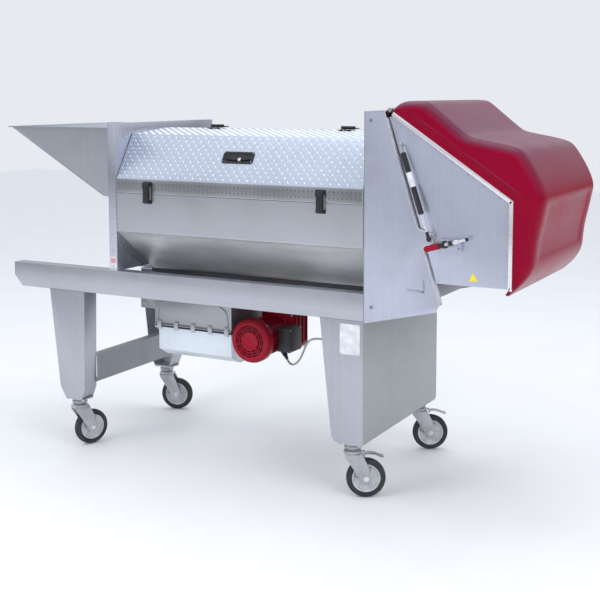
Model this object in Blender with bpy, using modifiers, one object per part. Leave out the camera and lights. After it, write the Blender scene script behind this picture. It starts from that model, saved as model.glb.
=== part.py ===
"""Grape crusher destemmer on casters: +X towards the drive head, front at -Y, floor at Z = 0."""
import math

import bmesh
import bpy
from mathutils import Matrix, Vector

# Overall layout, in metres
PLATE_X = 0.555  # outer face of the right end plate
LEFT_X = -0.645  # inner face of the left end plate
HALF_D = 0.3875  # half the depth of the frame
SHEET = 0.003
GAP = 0.0003
TOP_Z = 1.55
RAIL_LEFT = -1.245
RAIL_TOP = 0.840
RAIL_BOTTOM = 0.730
RAIL_DEEP = 0.058
LEG_DEEP = 0.085
LEG_BOTTOM = 0.230
HOPPER_LEFT = -1.259
RIM_Z = 1.470
AXIS_Z = 1.200  # axis of the destemming cage and the beater
CAGE_R = 0.238
SLOPE_TOP = (0.636, TOP_Z)  # sloping edge of the head gussets
SLOPE_FOOT = (0.867, 0.822)
HEAD_HINGE = (0.653, 1.556)
LID_HINGE = (0.0125, 1.472)
STRUT_FOOT = (0.833, 1.075)
STRUT_HEAD = (0.716, 1.424)
CLAMP_PIVOT = (0.890, 1.057)
WHEEL_R = 0.080
TRAIL = 0.054  # caster wheel centre behind its swivel axis
RIGHT_SWIVEL_X = 0.487
LEFT_SWIVEL_X = -0.910
SWIVEL_Y = 0.3445
RIGHT_HEADING = math.radians(30)
LEFT_FRONT_HEADING = math.radians(66)
LEFT_REAR_HEADING = math.radians(20)
MOTOR_AXIS = (0.1725, 1.0)  # main motor axis, Y and Z
GLAND_START = Vector((0.041, -0.1175, 0.5033))  # cable gland of the crusher motor
CABLE_ROUTE = [
    (0.0680, -0.1310, 0.4700), (0.0790, -0.1365, 0.4600), (0.0990, -0.1485, 0.4550), (0.124, -0.164, 0.463),
    (0.160, -0.190, 0.491), (0.190, -0.214, 0.530), (0.217, -0.236, 0.570), (0.252, -0.262, 0.601),
    (0.305, -0.290, 0.617), (0.3640, -0.312, 0.620)]
CAGE_PULLEY_R = 0.130
BEATER_PULLEY_R = 0.090
SMALL_STEP_R = 0.035
LARGE_STEP_R = 0.050

for old in list(bpy.data.objects):
    bpy.data.objects.remove(old)

PARTS = bpy.data.collections.new("grape_crusher_destemmer")
HELPERS = bpy.data.collections.new("cutters")
HELPERS.hide_render = True
bpy.context.scene.collection.children.link(PARTS)
bpy.context.scene.collection.children.link(HELPERS)

STEEL = ((0.62, 0.64, 0.68), 0.32, 1.0)
DULL_STEEL = ((0.45, 0.47, 0.50), 0.40, 1.0)
BRIGHT = ((0.75, 0.80, 0.85), 0.25, 1.0)
PANEL = ((0.60, 0.60, 0.58), 0.45, 0.8)
RED = ((0.40, 0.01, 0.04), 0.30, 0.0)
MOTOR_RED = ((0.55, 0.03, 0.05), 0.45, 0.2)
BLACK = ((0.02, 0.02, 0.025), 0.55, 0.0)
RUBBER = ((0.05, 0.05, 0.055), 0.75, 0.0)
GREY = ((0.40, 0.42, 0.44), 0.50, 0.5)
ZINC = ((0.60, 0.61, 0.62), 0.35, 1.0)
TREAD = ((0.66, 0.72, 0.80), 0.30, 1.0)


def to_axis(axis):
    """Matrix that takes a flat outline and its thickness to the plane square to the axis."""
    rows = {
        "X": ((0, 0, 1, 0), (1, 0, 0, 0), (0, 1, 0, 0)),
        "Y": ((1, 0, 0, 0), (0, 0, -1, 0), (0, 1, 0, 0)),
        "Z": ((1, 0, 0, 0), (0, 1, 0, 0), (0, 0, 1, 0)),
    }[axis]
    return Matrix((*rows, (0, 0, 0, 1)))


def along(axis, value):
    return Vector([value if axis == letter else 0 for letter in "XYZ"])


def finish(name, bm):
    mesh = bpy.data.meshes.new(name)
    bmesh.ops.remove_doubles(bm, verts=bm.verts, dist=1e-6)
    bmesh.ops.recalc_face_normals(bm, faces=bm.faces)
    bm.to_mesh(mesh)
    bm.free()
    obj = bpy.data.objects.new(name, mesh)
    PARTS.objects.link(obj)
    return obj


def box(name, low, high):
    bm = bmesh.new()
    size = [b - a for a, b in zip(low, high)]
    middle = [(a + b) / 2 for a, b in zip(low, high)]
    place = Matrix.Translation(middle) @ Matrix.Diagonal((*size, 1))
    bmesh.ops.create_cube(bm, size=1, matrix=place)
    return finish(name, bm)


def cylinder(name, axis, start, end, centre, radius, sides=24, far_radius=None):
    """A cylinder from start to end along the axis; centre is its place in the other two, in X, Y, Z order."""
    bm = bmesh.new()
    other = list(centre)
    middle = (start + end) / 2
    where = {"X": (middle, *other), "Y": (other[0], middle, other[1]), "Z": (*other, middle)}[axis]
    flip = Matrix.Rotation(math.pi, 4, "X") if axis == "Y" else Matrix()
    bmesh.ops.create_cone(
        bm,
        cap_ends=True,
        segments=sides,
        radius1=radius,
        radius2=radius if far_radius is None else far_radius,
        depth=end - start,
        matrix=Matrix.Translation(where) @ to_axis(axis) @ flip,
    )
    return finish(name, bm)


def prism(name, outline, axis, start, end, holes=()):
    """A flat outline given in the other two axes, in X, Y, Z order, made solid from start to end."""
    curve = bpy.data.curves.new(name + "_outline", "CURVE")
    curve.dimensions = "2D"
    curve.fill_mode = "BOTH"
    curve.extrude = (end - start) / 2
    for points in (outline, *holes):
        spline = curve.splines.new("POLY")
        spline.points.add(len(points) - 1)
        for point, (u, v) in zip(spline.points, points):
            point.co = (u, v, 0, 1)
        spline.use_cyclic_u = True
    flat = bpy.data.objects.new(name + "_flat", curve)
    PARTS.objects.link(flat)
    bpy.context.view_layer.update()
    mesh = bpy.data.meshes.new_from_object(flat.evaluated_get(bpy.context.evaluated_depsgraph_get()))
    bpy.data.objects.remove(flat)
    bm = bmesh.new()
    bm.from_mesh(mesh)
    bpy.data.meshes.remove(mesh)
    bmesh.ops.remove_doubles(bm, verts=bm.verts, dist=1e-6)
    bmesh.ops.transform(bm, matrix=to_axis(axis), verts=bm.verts)
    bmesh.ops.translate(bm, vec=along(axis, (start + end) / 2), verts=bm.verts)
    bmesh.ops.dissolve_limit(bm, angle_limit=math.radians(0.5), verts=bm.verts, edges=bm.edges)
    return finish(name, bm)


def shifted(points, distance):
    """The closed outline moved in by distance, for points that run anticlockwise."""
    moved = []
    for i, here in enumerate(points):
        before = Vector(points[i - 1])
        after = Vector(points[(i + 1) % len(points)])
        here = Vector(here)
        one = (here - before).normalized()
        two = (after - here).normalized()
        normal_one = Vector((-one.y, one.x))
        normal_two = Vector((-two.y, two.x))
        bisector = normal_one + normal_two
        reach = distance / max(0.2, bisector.dot(normal_one))
        moved.append(tuple(here + bisector * reach))
    return moved


def strip(points, thick):
    """A folded sheet's section: the open line and the same line moved to its left."""
    lefts = []
    last = len(points) - 1
    for i, here in enumerate(points):
        here = Vector(here)
        one = (here - Vector(points[i - 1])).normalized() if i else None
        two = (Vector(points[i + 1]) - here).normalized() if i < last else None
        one = one or two
        two = two or one
        bisector = Vector((-one.y, one.x)) + Vector((-two.y, two.x))
        reach = thick / bisector.dot(Vector((-one.y, one.x)))
        lefts.append(tuple(here + bisector * reach))
    return [tuple(p) for p in points] + lefts[::-1]


def combine(obj, other, operation):
    PARTS.objects.unlink(other)
    HELPERS.objects.link(other)
    other.hide_render = True
    other.display_type = "WIRE"
    modifier = obj.modifiers.new(operation.lower(), "BOOLEAN")
    modifier.operation = operation
    modifier.solver = "EXACT"
    modifier.object = other
    bpy.context.view_layer.update()
    mesh = bpy.data.meshes.new_from_object(obj.evaluated_get(bpy.context.evaluated_depsgraph_get()))
    obj.modifiers.clear()
    old = obj.data
    obj.data = mesh
    bpy.data.meshes.remove(old)
    return obj


def add(obj, *others):
    for other in others:
        combine(obj, other, "UNION")
    return obj


def cut(obj, *others):
    for other in others:
        combine(obj, other, "DIFFERENCE")
    return obj


def joined(name, pieces):
    """Separate closed pieces held in one helper mesh."""
    bm = bmesh.new()
    for piece in pieces:
        bm.from_mesh(piece.data)
        bpy.data.objects.remove(piece)
    return finish(name, bm)


def turned(obj, axis, degrees, centre):
    spin = Matrix.Translation(centre) @ Matrix.Rotation(math.radians(degrees), 4, axis)
    obj.data.transform(spin @ Matrix.Translation(-Vector(centre)))
    return obj


def hinged(obj, point):
    """Puts the object's origin on its joint axis."""
    obj.data.transform(Matrix.Translation(-Vector(point)))
    obj.location = point
    return obj


def rounded(obj):
    for face in obj.data.polygons:
        face.use_smooth = True
    obj.data.set_sharp_from_angle(angle=math.radians(35))
    return obj


def paint(obj, look):
    colour, roughness, metallic = look
    material = bpy.data.materials.new(obj.name)
    material.use_nodes = True
    shader = material.node_tree.nodes["Principled BSDF"]
    shader.inputs["Base Color"].default_value = (*colour, 1)
    shader.inputs["Roughness"].default_value = roughness
    shader.inputs["Metallic"].default_value = metallic
    obj.data.materials.clear()
    obj.data.materials.append(material)
    return obj


def mirrored(obj, name):
    """The same piece on the other side of the middle plane."""
    bm = bmesh.new()
    bm.from_mesh(obj.data)
    bmesh.ops.transform(bm, matrix=obj.matrix_basis, verts=bm.verts)
    bmesh.ops.scale(bm, vec=(1, -1, 1), verts=bm.verts)
    bmesh.ops.reverse_faces(bm, faces=bm.faces)
    return finish(name, bm)


def pan(name, outline, axis, start, end, open_end, wall=SHEET):
    """A shallow pan folded from sheet: a face with flanges all round, open at one end of the axis."""
    outer = prism(name, outline, axis, start, end)
    low = start + wall if open_end == "high" else start - 0.01
    high = end + 0.01 if open_end == "high" else end - wall
    inner = prism(name + "_inside", shifted(outline, wall), axis, low, high)
    return cut(outer, inner)


def circle(centre, radius, sides=32):
    steps = [2 * math.pi * (i + 0.5) / sides for i in range(sides)]
    return [(centre[0] + radius * math.cos(a), centre[1] + radius * math.sin(a)) for a in steps]


def slope_x(z):
    share = (SLOPE_TOP[1] - z) / (SLOPE_TOP[1] - SLOPE_FOOT[1])
    return SLOPE_TOP[0] + share * (SLOPE_FOOT[0] - SLOPE_TOP[0])


FRONT = -HALF_D
BACK = HALF_D


# Frame rails and legs
def rails():
    outline = [
        (RAIL_LEFT + 0.045, RAIL_BOTTOM),
        (PLATE_X - SHEET - GAP, RAIL_BOTTOM),
        (PLATE_X - SHEET - GAP, RAIL_TOP),
        (RAIL_LEFT, RAIL_TOP),
        (RAIL_LEFT, RAIL_BOTTOM + 0.05),
    ]
    front = pan("rail_front", outline, "Y", FRONT, FRONT + RAIL_DEEP, "high")
    paint(front, STEEL)
    paint(mirrored(front, "rail_rear"), STEEL)


def legs():
    top = RAIL_BOTTOM - GAP
    left = [(-1.035, top), (-0.985, LEG_BOTTOM + 0.05), (-0.955, LEG_BOTTOM), (-0.865, LEG_BOTTOM),
            (-0.845, LEG_BOTTOM + 0.05), (-0.835, top)]
    edge = PLATE_X - SHEET - GAP
    right = [(0.360, top), (0.411, LEG_BOTTOM + 0.025), (0.425, LEG_BOTTOM), (edge, LEG_BOTTOM), (edge, top)]
    for name, outline in (("leg_left", left), ("leg_right", right)):
        front = pan(name + "_front", outline, "Y", FRONT, FRONT + LEG_DEEP, "high")
        paint(front, STEEL)
        paint(mirrored(front, name + "_rear"), STEEL)
    section = strip([(-0.885, 0.30), (-0.838, 0.30), (-0.838, 0.423), (-0.885, 0.423)], SHEET)
    start = FRONT + LEG_DEEP + GAP
    paint(prism("leg_tie", section, "Y", start, -start), DULL_STEEL)
    lower = [(FRONT, LEG_BOTTOM + 0.004), (BACK - 0.012, LEG_BOTTOM + 0.004), (BACK, LEG_BOTTOM + 0.016),
             (BACK, 0.835), (FRONT, 0.835)]
    paint(prism("end_panel_lower", lower, "X", PLATE_X - SHEET, PLATE_X), PANEL)


# End plates, gussets and the fixed wall of the drive head
def end_plates():
    outline = [(FRONT, 0.835 + GAP), (BACK, 0.835 + GAP), (BACK, TOP_Z), (FRONT, TOP_Z)]
    hole = circle((0, AXIS_Z), CAGE_R + 0.010, 40)
    paint(prism("end_plate_right", outline, "X", PLATE_X - SHEET, PLATE_X, [hole]), STEEL)
    outline = [(FRONT, RAIL_TOP + GAP), (BACK, RAIL_TOP + GAP), (BACK, 1.49), (FRONT, 1.49)]
    left = pan("end_plate_left", outline, "X", LEFT_X - 0.042, LEFT_X, "low")
    mouth = [(-0.22, 1.255), (0.22, 1.255), (0.22, 1.335), (0.15, 1.425), (-0.15, 1.425), (-0.22, 1.335)]
    cut(left, prism("feed_mouth", mouth, "X", LEFT_X - 0.02, LEFT_X + 0.02))
    cut(left, cylinder("feed_shaft_hole", "X", LEFT_X - 0.02, LEFT_X + 0.02, (0, AXIS_Z), 0.026))
    paint(left, STEEL)
    bearing = cylinder("feed_bearing", "X", LEFT_X - 0.0403, LEFT_X - SHEET - GAP, (0, AXIS_Z), 0.048, 32)
    cut(bearing, cylinder("feed_bearing_bore", "X", LEFT_X - 0.031, LEFT_X, (0, AXIS_Z), 0.0226, 32))
    paint(rounded(bearing), GREY)


def gussets():
    start = PLATE_X + GAP
    tab = [(slope_x(1.040), 1.040), (0.841, 1.062), (0.843, 1.088), (slope_x(1.110), 1.110)]
    outline = [(start, 0.724), (0.852, 0.794), SLOPE_FOOT, *tab, SLOPE_TOP, (start, TOP_Z)]
    plate = prism("gusset_front", outline, "Y", FRONT, FRONT + 0.004)
    run = Vector(SLOPE_TOP) - Vector(SLOPE_FOOT)
    normal = Vector((-run.y, run.x)).normalized()
    inset = normal * 0.0003
    corner = [Vector(SLOPE_FOOT) + inset, Vector(SLOPE_TOP) - run.normalized() * 0.022 + inset]
    flange = [tuple(corner[0]), tuple(corner[1]), tuple(corner[1] + normal * SHEET), tuple(corner[0] + normal * SHEET)]
    add(plate, prism("gusset_flange", flange, "Y", FRONT + 0.001, FRONT + 0.034))
    add(plate, cylinder("strut_stud", "Y", FRONT - 0.0145, FRONT + 0.002, STRUT_FOOT, 0.005, 12))
    paint(plate, STEEL)
    paint(mirrored(plate, "gusset_rear"), STEEL)


def drive_wall():
    inset = 0.0045
    low = 0.845
    foot = (slope_x(low) - 0.008, low)
    head = (slope_x(1.545) - 0.004, 1.545)
    section = strip([foot, head, (HEAD_HINGE[0] - 0.004, HEAD_HINGE[1] - 0.001)], SHEET)
    wall = prism("drive_wall", section, "Y", FRONT + inset, BACK - inset)
    add(wall, cylinder("head_hinge_barrel", "Y", FRONT + 0.012, BACK - 0.012, HEAD_HINGE, 0.008, 16))
    cut(wall, cylinder("housing_hole", "X", 0.70, 0.80, (0, AXIS_Z), 0.056, 32))
    paint(wall, STEEL)
    housing = cylinder("drive_bearing", "X", 0.690, 1.005, (0, AXIS_Z), 0.050, 32)
    tilt = math.degrees(math.atan2(SLOPE_FOOT[0] - SLOPE_TOP[0], SLOPE_TOP[1] - SLOPE_FOOT[1]))
    middle = Vector((slope_x(AXIS_Z) + 0.0075, 0, AXIS_Z))
    flange = box("housing_flange", middle - Vector((0.006, 0.085, 0.085)), middle + Vector((0.006, 0.085, 0.085)))
    add(housing, turned(flange, "Y", -tilt, middle))
    cut(housing, cylinder("housing_bore", "X", 0.60, 1.10, (0, AXIS_Z), 0.0355, 32))
    paint(rounded(housing), GREY)


# Trough under the cage, covers and lid
def covers():
    left = LEFT_X + 0.0005
    right = PLATE_X - SHEET - 0.0005
    front = [(FRONT + 0.020, 1.187), (FRONT, 1.187), (FRONT, 1.018), (-0.1175, 0.812)]
    trough = prism("trough_front", strip(front, SHEET), "X", left, right)
    paint(trough, STEEL)
    paint(mirrored(trough, "trough_rear"), STEEL)
    lid = [(FRONT, 1.190), (FRONT, 1.250), (FRONT + 0.120, 1.440), (0.004, 1.462)]
    cover = prism("rear_cover", strip([(-y, z) for y, z in lid[:3]] + [(0.021, 1.462)], SHEET), "X",
                  left + 0.002, right - 0.002)
    paint(cover, TREAD)
    shell = prism("lid", strip([(y, z) for y, z in lid][::-1], SHEET), "X", left + 0.003, right - 0.003)
    paint(hinged(shell, (-0.045, *LID_HINGE)), TREAD)
    for name, x in (("hinge_left", -0.372), ("hinge_right", 0.289)):
        leaf = box(name, (x - 0.030, LID_HINGE[0] + 0.002, 1.4655), (x + 0.030, LID_HINGE[0] + 0.048, 1.470))
        barrel = cylinder(name + "_barrel", "X", x - 0.030, x + 0.030, LID_HINGE, 0.0065, 12)
        paint(add(leaf, barrel), BLACK)
    face = Vector((0.120, 0.190)).normalized()
    grip = box("lid_handle", (-0.130, -0.012, -0.028), (0.020, -GAP, 0.028))
    pocket = box("handle_pocket", (-0.118, -0.020, -0.016), (0.008, -0.004, 0.016))
    cut(grip, pocket)
    lean = math.degrees(math.atan2(face.x, face.y))
    turned(grip, "X", -lean, (0, 0, 0))
    middle = Vector((0, FRONT + 0.064, 1.3513))
    grip.data.transform(Matrix.Translation(middle))
    paint(hinged(grip, (-0.055, *middle.yz)), BLACK)
    for name, x in (("latch_left", -0.475), ("latch_right", 0.365)):
        plate = box(name, (x - 0.022, FRONT - 0.018, 1.152), (x + 0.022, FRONT - 0.0006, 1.232))
        recess = box(name + "_recess", (x - 0.012, FRONT - 0.030, 1.165), (x + 0.012, FRONT - 0.012, 1.205))
        cut(plate, recess)
        paint(hinged(plate, (x, FRONT - 0.016, 1.2285)), BLACK)


def trough_outlet():
    left, right, back = -0.485, -0.165, 0.1175
    floor = strip([(right, 0.800), (right, 0.818), (PLATE_X - 0.006, 0.900)], SHEET)
    piece = prism("trough_outlet", floor, "Y", -0.113, 0.113)
    end = strip([(LEFT_X + 0.004, 0.950), (left, 0.818), (left, 0.800)], SHEET)
    add(piece, prism("outlet_end", end, "Y", -0.113, 0.113))
    for name, y in (("outlet_side_a", -0.113), ("outlet_side_b", 0.110)):
        add(piece, box(name, (left - 0.001, y, 0.800), (right + 0.001, y + SHEET, 0.811)))
    paint(piece, DULL_STEEL)


def hopper():
    rim = LEFT_X - 0.042 - GAP
    wedge = [(HOPPER_LEFT + 0.012, RIM_Z), (-0.722, 1.169), (rim, 1.169), (rim, RIM_Z)]
    shell = prism("feed_hopper", wedge, "Y", FRONT + 0.012, BACK - 0.012)
    lip = box("hopper_lip", (HOPPER_LEFT, FRONT, RIM_Z - 0.004), (rim, BACK, RIM_Z))
    add(shell, lip)
    inside = shifted(wedge, SHEET)
    inside = [(inside[0][0] - 0.04, RIM_Z + 0.02), inside[0], inside[1], (rim + 0.05, inside[1][1]),
              (rim + 0.05, RIM_Z + 0.02)]
    inside[0] = (inside[1][0], RIM_Z + 0.02)
    cut(shell, prism("hopper_inside", inside, "Y", FRONT + 0.015, BACK - 0.015))
    paint(shell, STEEL)


# Cage, beater and belt drive
def cage():
    around, rows = 24, 25
    start, end = LEFT_X + 0.010, PLATE_X + 0.020
    bm = bmesh.new()
    bmesh.ops.create_cone(bm, cap_ends=False, segments=around, radius1=CAGE_R, radius2=CAGE_R,
                          depth=end - start, matrix=Matrix.Translation(((start + end) / 2, 0, AXIS_Z)) @ to_axis("X"))
    lengthways = [e for e in bm.edges if abs(e.verts[0].co.x - e.verts[1].co.x) > 0.1]
    bmesh.ops.subdivide_edges(bm, edges=lengthways, cuts=rows - 1, use_grid_fill=True)
    pitch = (end - start) / rows
    holes = []
    for face in bm.faces:
        middle = face.calc_center_median()
        row = int((middle.x - start) / pitch)
        column = int(round(math.atan2(middle.z - AXIS_Z, middle.y) / (2 * math.pi / around) - 0.5))
        if row % 2 and column % 2:
            holes.append(face)
    bmesh.ops.delete(bm, geom=holes, context="FACES")
    drum = finish("cage", bm)
    wall = drum.modifiers.new("wall", "SOLIDIFY")
    wall.thickness = 0.004
    wall.offset = -1
    bpy.context.view_layer.update()
    mesh = bpy.data.meshes.new_from_object(drum.evaluated_get(bpy.context.evaluated_depsgraph_get()))
    drum.modifiers.clear()
    drum.data = mesh
    hub_x = PLATE_X + 0.006
    for i in range(3):
        arm = box(f"cage_arm_{i}", (hub_x - 0.006, 0.030, AXIS_Z - 0.012), (hub_x + 0.006, CAGE_R - 0.002, AXIS_Z + 0.012))
        add(drum, turned(arm, "X", 30 + 120 * i, (0, 0, AXIS_Z)))
    add(drum, cylinder("cage_quill", "X", hub_x - 0.020, 1.058, (0, AXIS_Z), 0.0345, 32))
    cut(drum, cylinder("cage_bore", "X", hub_x - 0.1, 1.2, (0, AXIS_Z), 0.0225, 32))
    paint(hinged(rounded(drum), (0, 0, AXIS_Z)), BRIGHT)


def beater():
    shaft = cylinder("beater", "X", LEFT_X - 0.030, 1.130, (0, AXIS_Z), 0.0220, 32)
    count = 15
    start, end = LEFT_X + 0.060, PLATE_X - 0.060
    for turn in (0, 1):
        arms = []
        for i in range(turn, count, 2):
            x = start + (end - start) * i / (count - 1)
            arm = box(f"arm_{i}", (x - 0.005, -0.185, AXIS_Z - 0.011), (x + 0.005, 0.185, AXIS_Z + 0.011))
            arms.append(turned(arm, "X", 38 * i, (0, 0, AXIS_Z)))
        add(shaft, joined(f"arms_{turn}", arms))
    paint(hinged(rounded(shaft), (0, 0, AXIS_Z)), ZINC)


def belt_line(big, big_centre, small, small_centre):
    """Outline of a belt round two pulleys."""
    a = Vector(big_centre)
    b = Vector(small_centre)
    gap = (b - a).length
    heading = math.atan2(b.y - a.y, b.x - a.x)
    lean = math.acos((big - small) / gap)
    points = []
    for i in range(13):
        t = heading + lean + (2 * math.pi - 2 * lean) * i / 12
        points.append((a.x + big * math.cos(t), a.y + big * math.sin(t)))
    for i in range(9):
        t = heading - lean + 2 * lean * i / 8
        points.append((b.x + small * math.cos(t), b.y + small * math.sin(t)))
    return points


def belt_drive():
    quill = cylinder("cage_pulley", "X", 1.020, 1.050, (0, AXIS_Z), CAGE_PULLEY_R, 48)
    cut(quill, cylinder("cage_pulley_bore", "X", 1.0, 1.1, (0, AXIS_Z), 0.0350, 32))
    paint(hinged(rounded(quill), (0, 0, AXIS_Z)), GREY)
    pulley = cylinder("beater_pulley", "X", 1.080, 1.110, (0, AXIS_Z), BEATER_PULLEY_R, 40)
    cut(pulley, cylinder("beater_pulley_bore", "X", 1.0, 1.2, (0, AXIS_Z), 0.0225, 32))
    paint(hinged(rounded(pulley), (0, 0, AXIS_Z)), GREY)
    small = cylinder("motor_pulley", "X", 1.020, 1.065, MOTOR_AXIS, SMALL_STEP_R, 24)
    add(small, cylinder("large_step", "X", 1.064, 1.110, MOTOR_AXIS, LARGE_STEP_R, 24))
    add(small, cylinder("motor_shaft", "X", 1.0083, 1.116, MOTOR_AXIS, 0.012, 16))
    paint(hinged(rounded(small), (0, *MOTOR_AXIS)), GREY)
    loose = 0.0012
    for name, x, big, little in (("cage_belt", 1.028, CAGE_PULLEY_R, SMALL_STEP_R),
                                 ("beater_belt", 1.088, BEATER_PULLEY_R, LARGE_STEP_R)):
        inner = belt_line(big / math.cos(math.pi / 12) + loose, (0, AXIS_Z), little + 0.004, MOTOR_AXIS)
        outer = belt_line(big / math.cos(math.pi / 12) + 0.010, (0, AXIS_Z), little + 0.013, MOTOR_AXIS)
        paint(prism(name, outer, "X", x, x + 0.014, [inner]), RUBBER)
    body = cylinder("main_motor", "X", 0.850, 1.008, MOTOR_AXIS, 0.078, 32)
    y, z = MOTOR_AXIS
    add(body, box("motor_foot", (0.852, y - 0.06, z - 0.105), (0.960, y + 0.06, z - 0.055)))
    paint(rounded(body), MOTOR_RED)


# Crusher unit under the trough
def crusher():
    low, high = 0.585, 0.722
    housing = box("crusher_housing", (-0.555, -0.2375, low), (-0.150, 0.2375, high))
    throat = box("crusher_throat", (-0.500, -0.130, high - 0.001), (-0.150, 0.130, 0.797))
    bars = joined("crusher_bars", [
        box("bar_left", (-0.660, FRONT + 0.005, 0.7335), (-0.545, BACK - 0.005, 0.7365)),
        box("bar_right", (-0.165, FRONT + 0.005, 0.7335), (-0.120, BACK - 0.005, 0.7365)),
    ])
    posts = joined("crusher_posts", [
        box("post_a", (-0.660, -0.20, 0.645), (-0.552, -0.19, 0.735)),
        box("post_b", (-0.660, 0.19, 0.645), (-0.552, 0.20, 0.735)),
        box("post_c", (-0.153, -0.20, 0.70), (-0.125, -0.17, 0.735)),
        box("post_d", (-0.153, 0.17, 0.70), (-0.125, 0.20, 0.735)),
    ])
    inside = box("housing_inside", (-0.552, -0.2345, low - 0.1), (-0.153, 0.2345, high - SHEET))
    add(housing, throat)
    cut(housing, inside)
    cut(housing, box("throat_inside", (-0.497, -0.127, 0.6), (-0.153, 0.127, 0.9)))
    add(housing, bars)
    cut(housing, box("bar_clear", (-0.497, -0.127, 0.6), (-0.153, 0.127, 0.9)))
    add(housing, posts)
    cut(housing, cylinder("roller_shaft_hole", "X", -0.17, -0.10, (0.055, 0.650), 0.013, 16))
    paint(housing, GREY)
    lobes = 6
    for name, y, phase in (("roller_front", -0.055, 0), ("roller_rear", 0.055, 0.5)):
        points = []
        for i in range(lobes * 4):
            angle = 2 * math.pi * (i / (lobes * 4) + phase / lobes)
            radius = 0.0525 if i % 4 < 2 else 0.043
            points.append((y + radius * math.cos(angle), 0.650 + radius * math.sin(angle)))
        roller = prism(name, points, "X", -0.546, -0.159)
        far = -0.1193 if y > 0 else -0.157
        add(roller, cylinder(name + "_shaft", "X", -0.550, far, (y, 0.650), 0.0115, 16))
        paint(hinged(roller, (-0.35, y, 0.650)), RUBBER)
    section = [(-0.215, 0.575), (-0.215, 0.470), (-0.150, 0.434), (0.150, 0.434), (0.215, 0.470), (0.215, 0.575)]
    tray = prism("must_tray", section, "X", -0.548, -0.165)
    lips = box("tray_lip", (-0.556, -0.235, 0.571), (-0.157, 0.235, 0.575))
    add(tray, lips)
    spout = cylinder("tray_spout", "X", -0.620, -0.546, (0, 0.480), 0.040, 24)
    add(tray, spout)
    inner = shifted(section, SHEET)
    inner = [(inner[0][0], 0.60), *inner[1:5], (inner[5][0], 0.60)]
    cut(tray, prism("tray_inside", inner, "X", -0.545, -0.168))
    cut(tray, cylinder("spout_bore", "X", -0.64, -0.54, (0, 0.480), 0.0365, 24))
    paint(tray, BRIGHT)
    outline = [(-0.119, 0.500), (-0.100, 0.480), (0.030, 0.480), (0.045, 0.495), (0.045, 0.650),
               (0.020, 0.700), (-0.119, 0.700)]
    paint(prism("crusher_gearbox", outline, "Y", -0.0297, 0.100), MOTOR_RED)
    motor = cylinder("crusher_motor", "Y", -0.215, -0.030, (-0.045, 0.562), 0.083, 32)
    add(motor, cylinder("fan_cover", "Y", -0.262, -0.214, (-0.045, 0.562), 0.0965, 40, 0.0965))
    add(motor, box("terminal_box", (0.020, -0.150, 0.502), (0.090, -0.040, 0.608)))
    way = Vector(CABLE_ROUTE[0]) - GLAND_START
    gland = cylinder("cable_gland", "Z", 0, way.length - 0.0015, (0, 0), 0.0105, 12)
    gland.data.transform(Matrix.Translation(GLAND_START) @ way.to_track_quat("Z", "Y").to_matrix().to_4x4())
    add(motor, gland)
    paint(rounded(motor), MOTOR_RED)


def motor_cable():
    curve = bpy.data.curves.new("motor_cable", "CURVE")
    curve.dimensions = "3D"
    curve.bevel_depth = 0.0045
    curve.bevel_resolution = 2
    curve.use_fill_caps = True
    route = [Vector(p) for p in CABLE_ROUTE]
    points = []
    for i in range(len(route) - 1):
        before = route[max(i - 1, 0)]
        here, after = route[i], route[i + 1]
        beyond = route[min(i + 2, len(route) - 1)]
        for step in range(5):
            t = step / 5
            points.append(0.5 * (2 * here + (after - before) * t + (2 * before - 5 * here + 4 * after - beyond) * t * t
                                 + (3 * here - before - 3 * after + beyond) * t ** 3))
    points.append(route[-1])
    spline = curve.splines.new("POLY")
    spline.points.add(len(points) - 1)
    for point, place in zip(spline.points, points):
        point.co = (*place, 1)
    cable = bpy.data.objects.new("motor_cable", curve)
    PARTS.objects.link(cable)
    paint(cable, BLACK)


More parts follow.
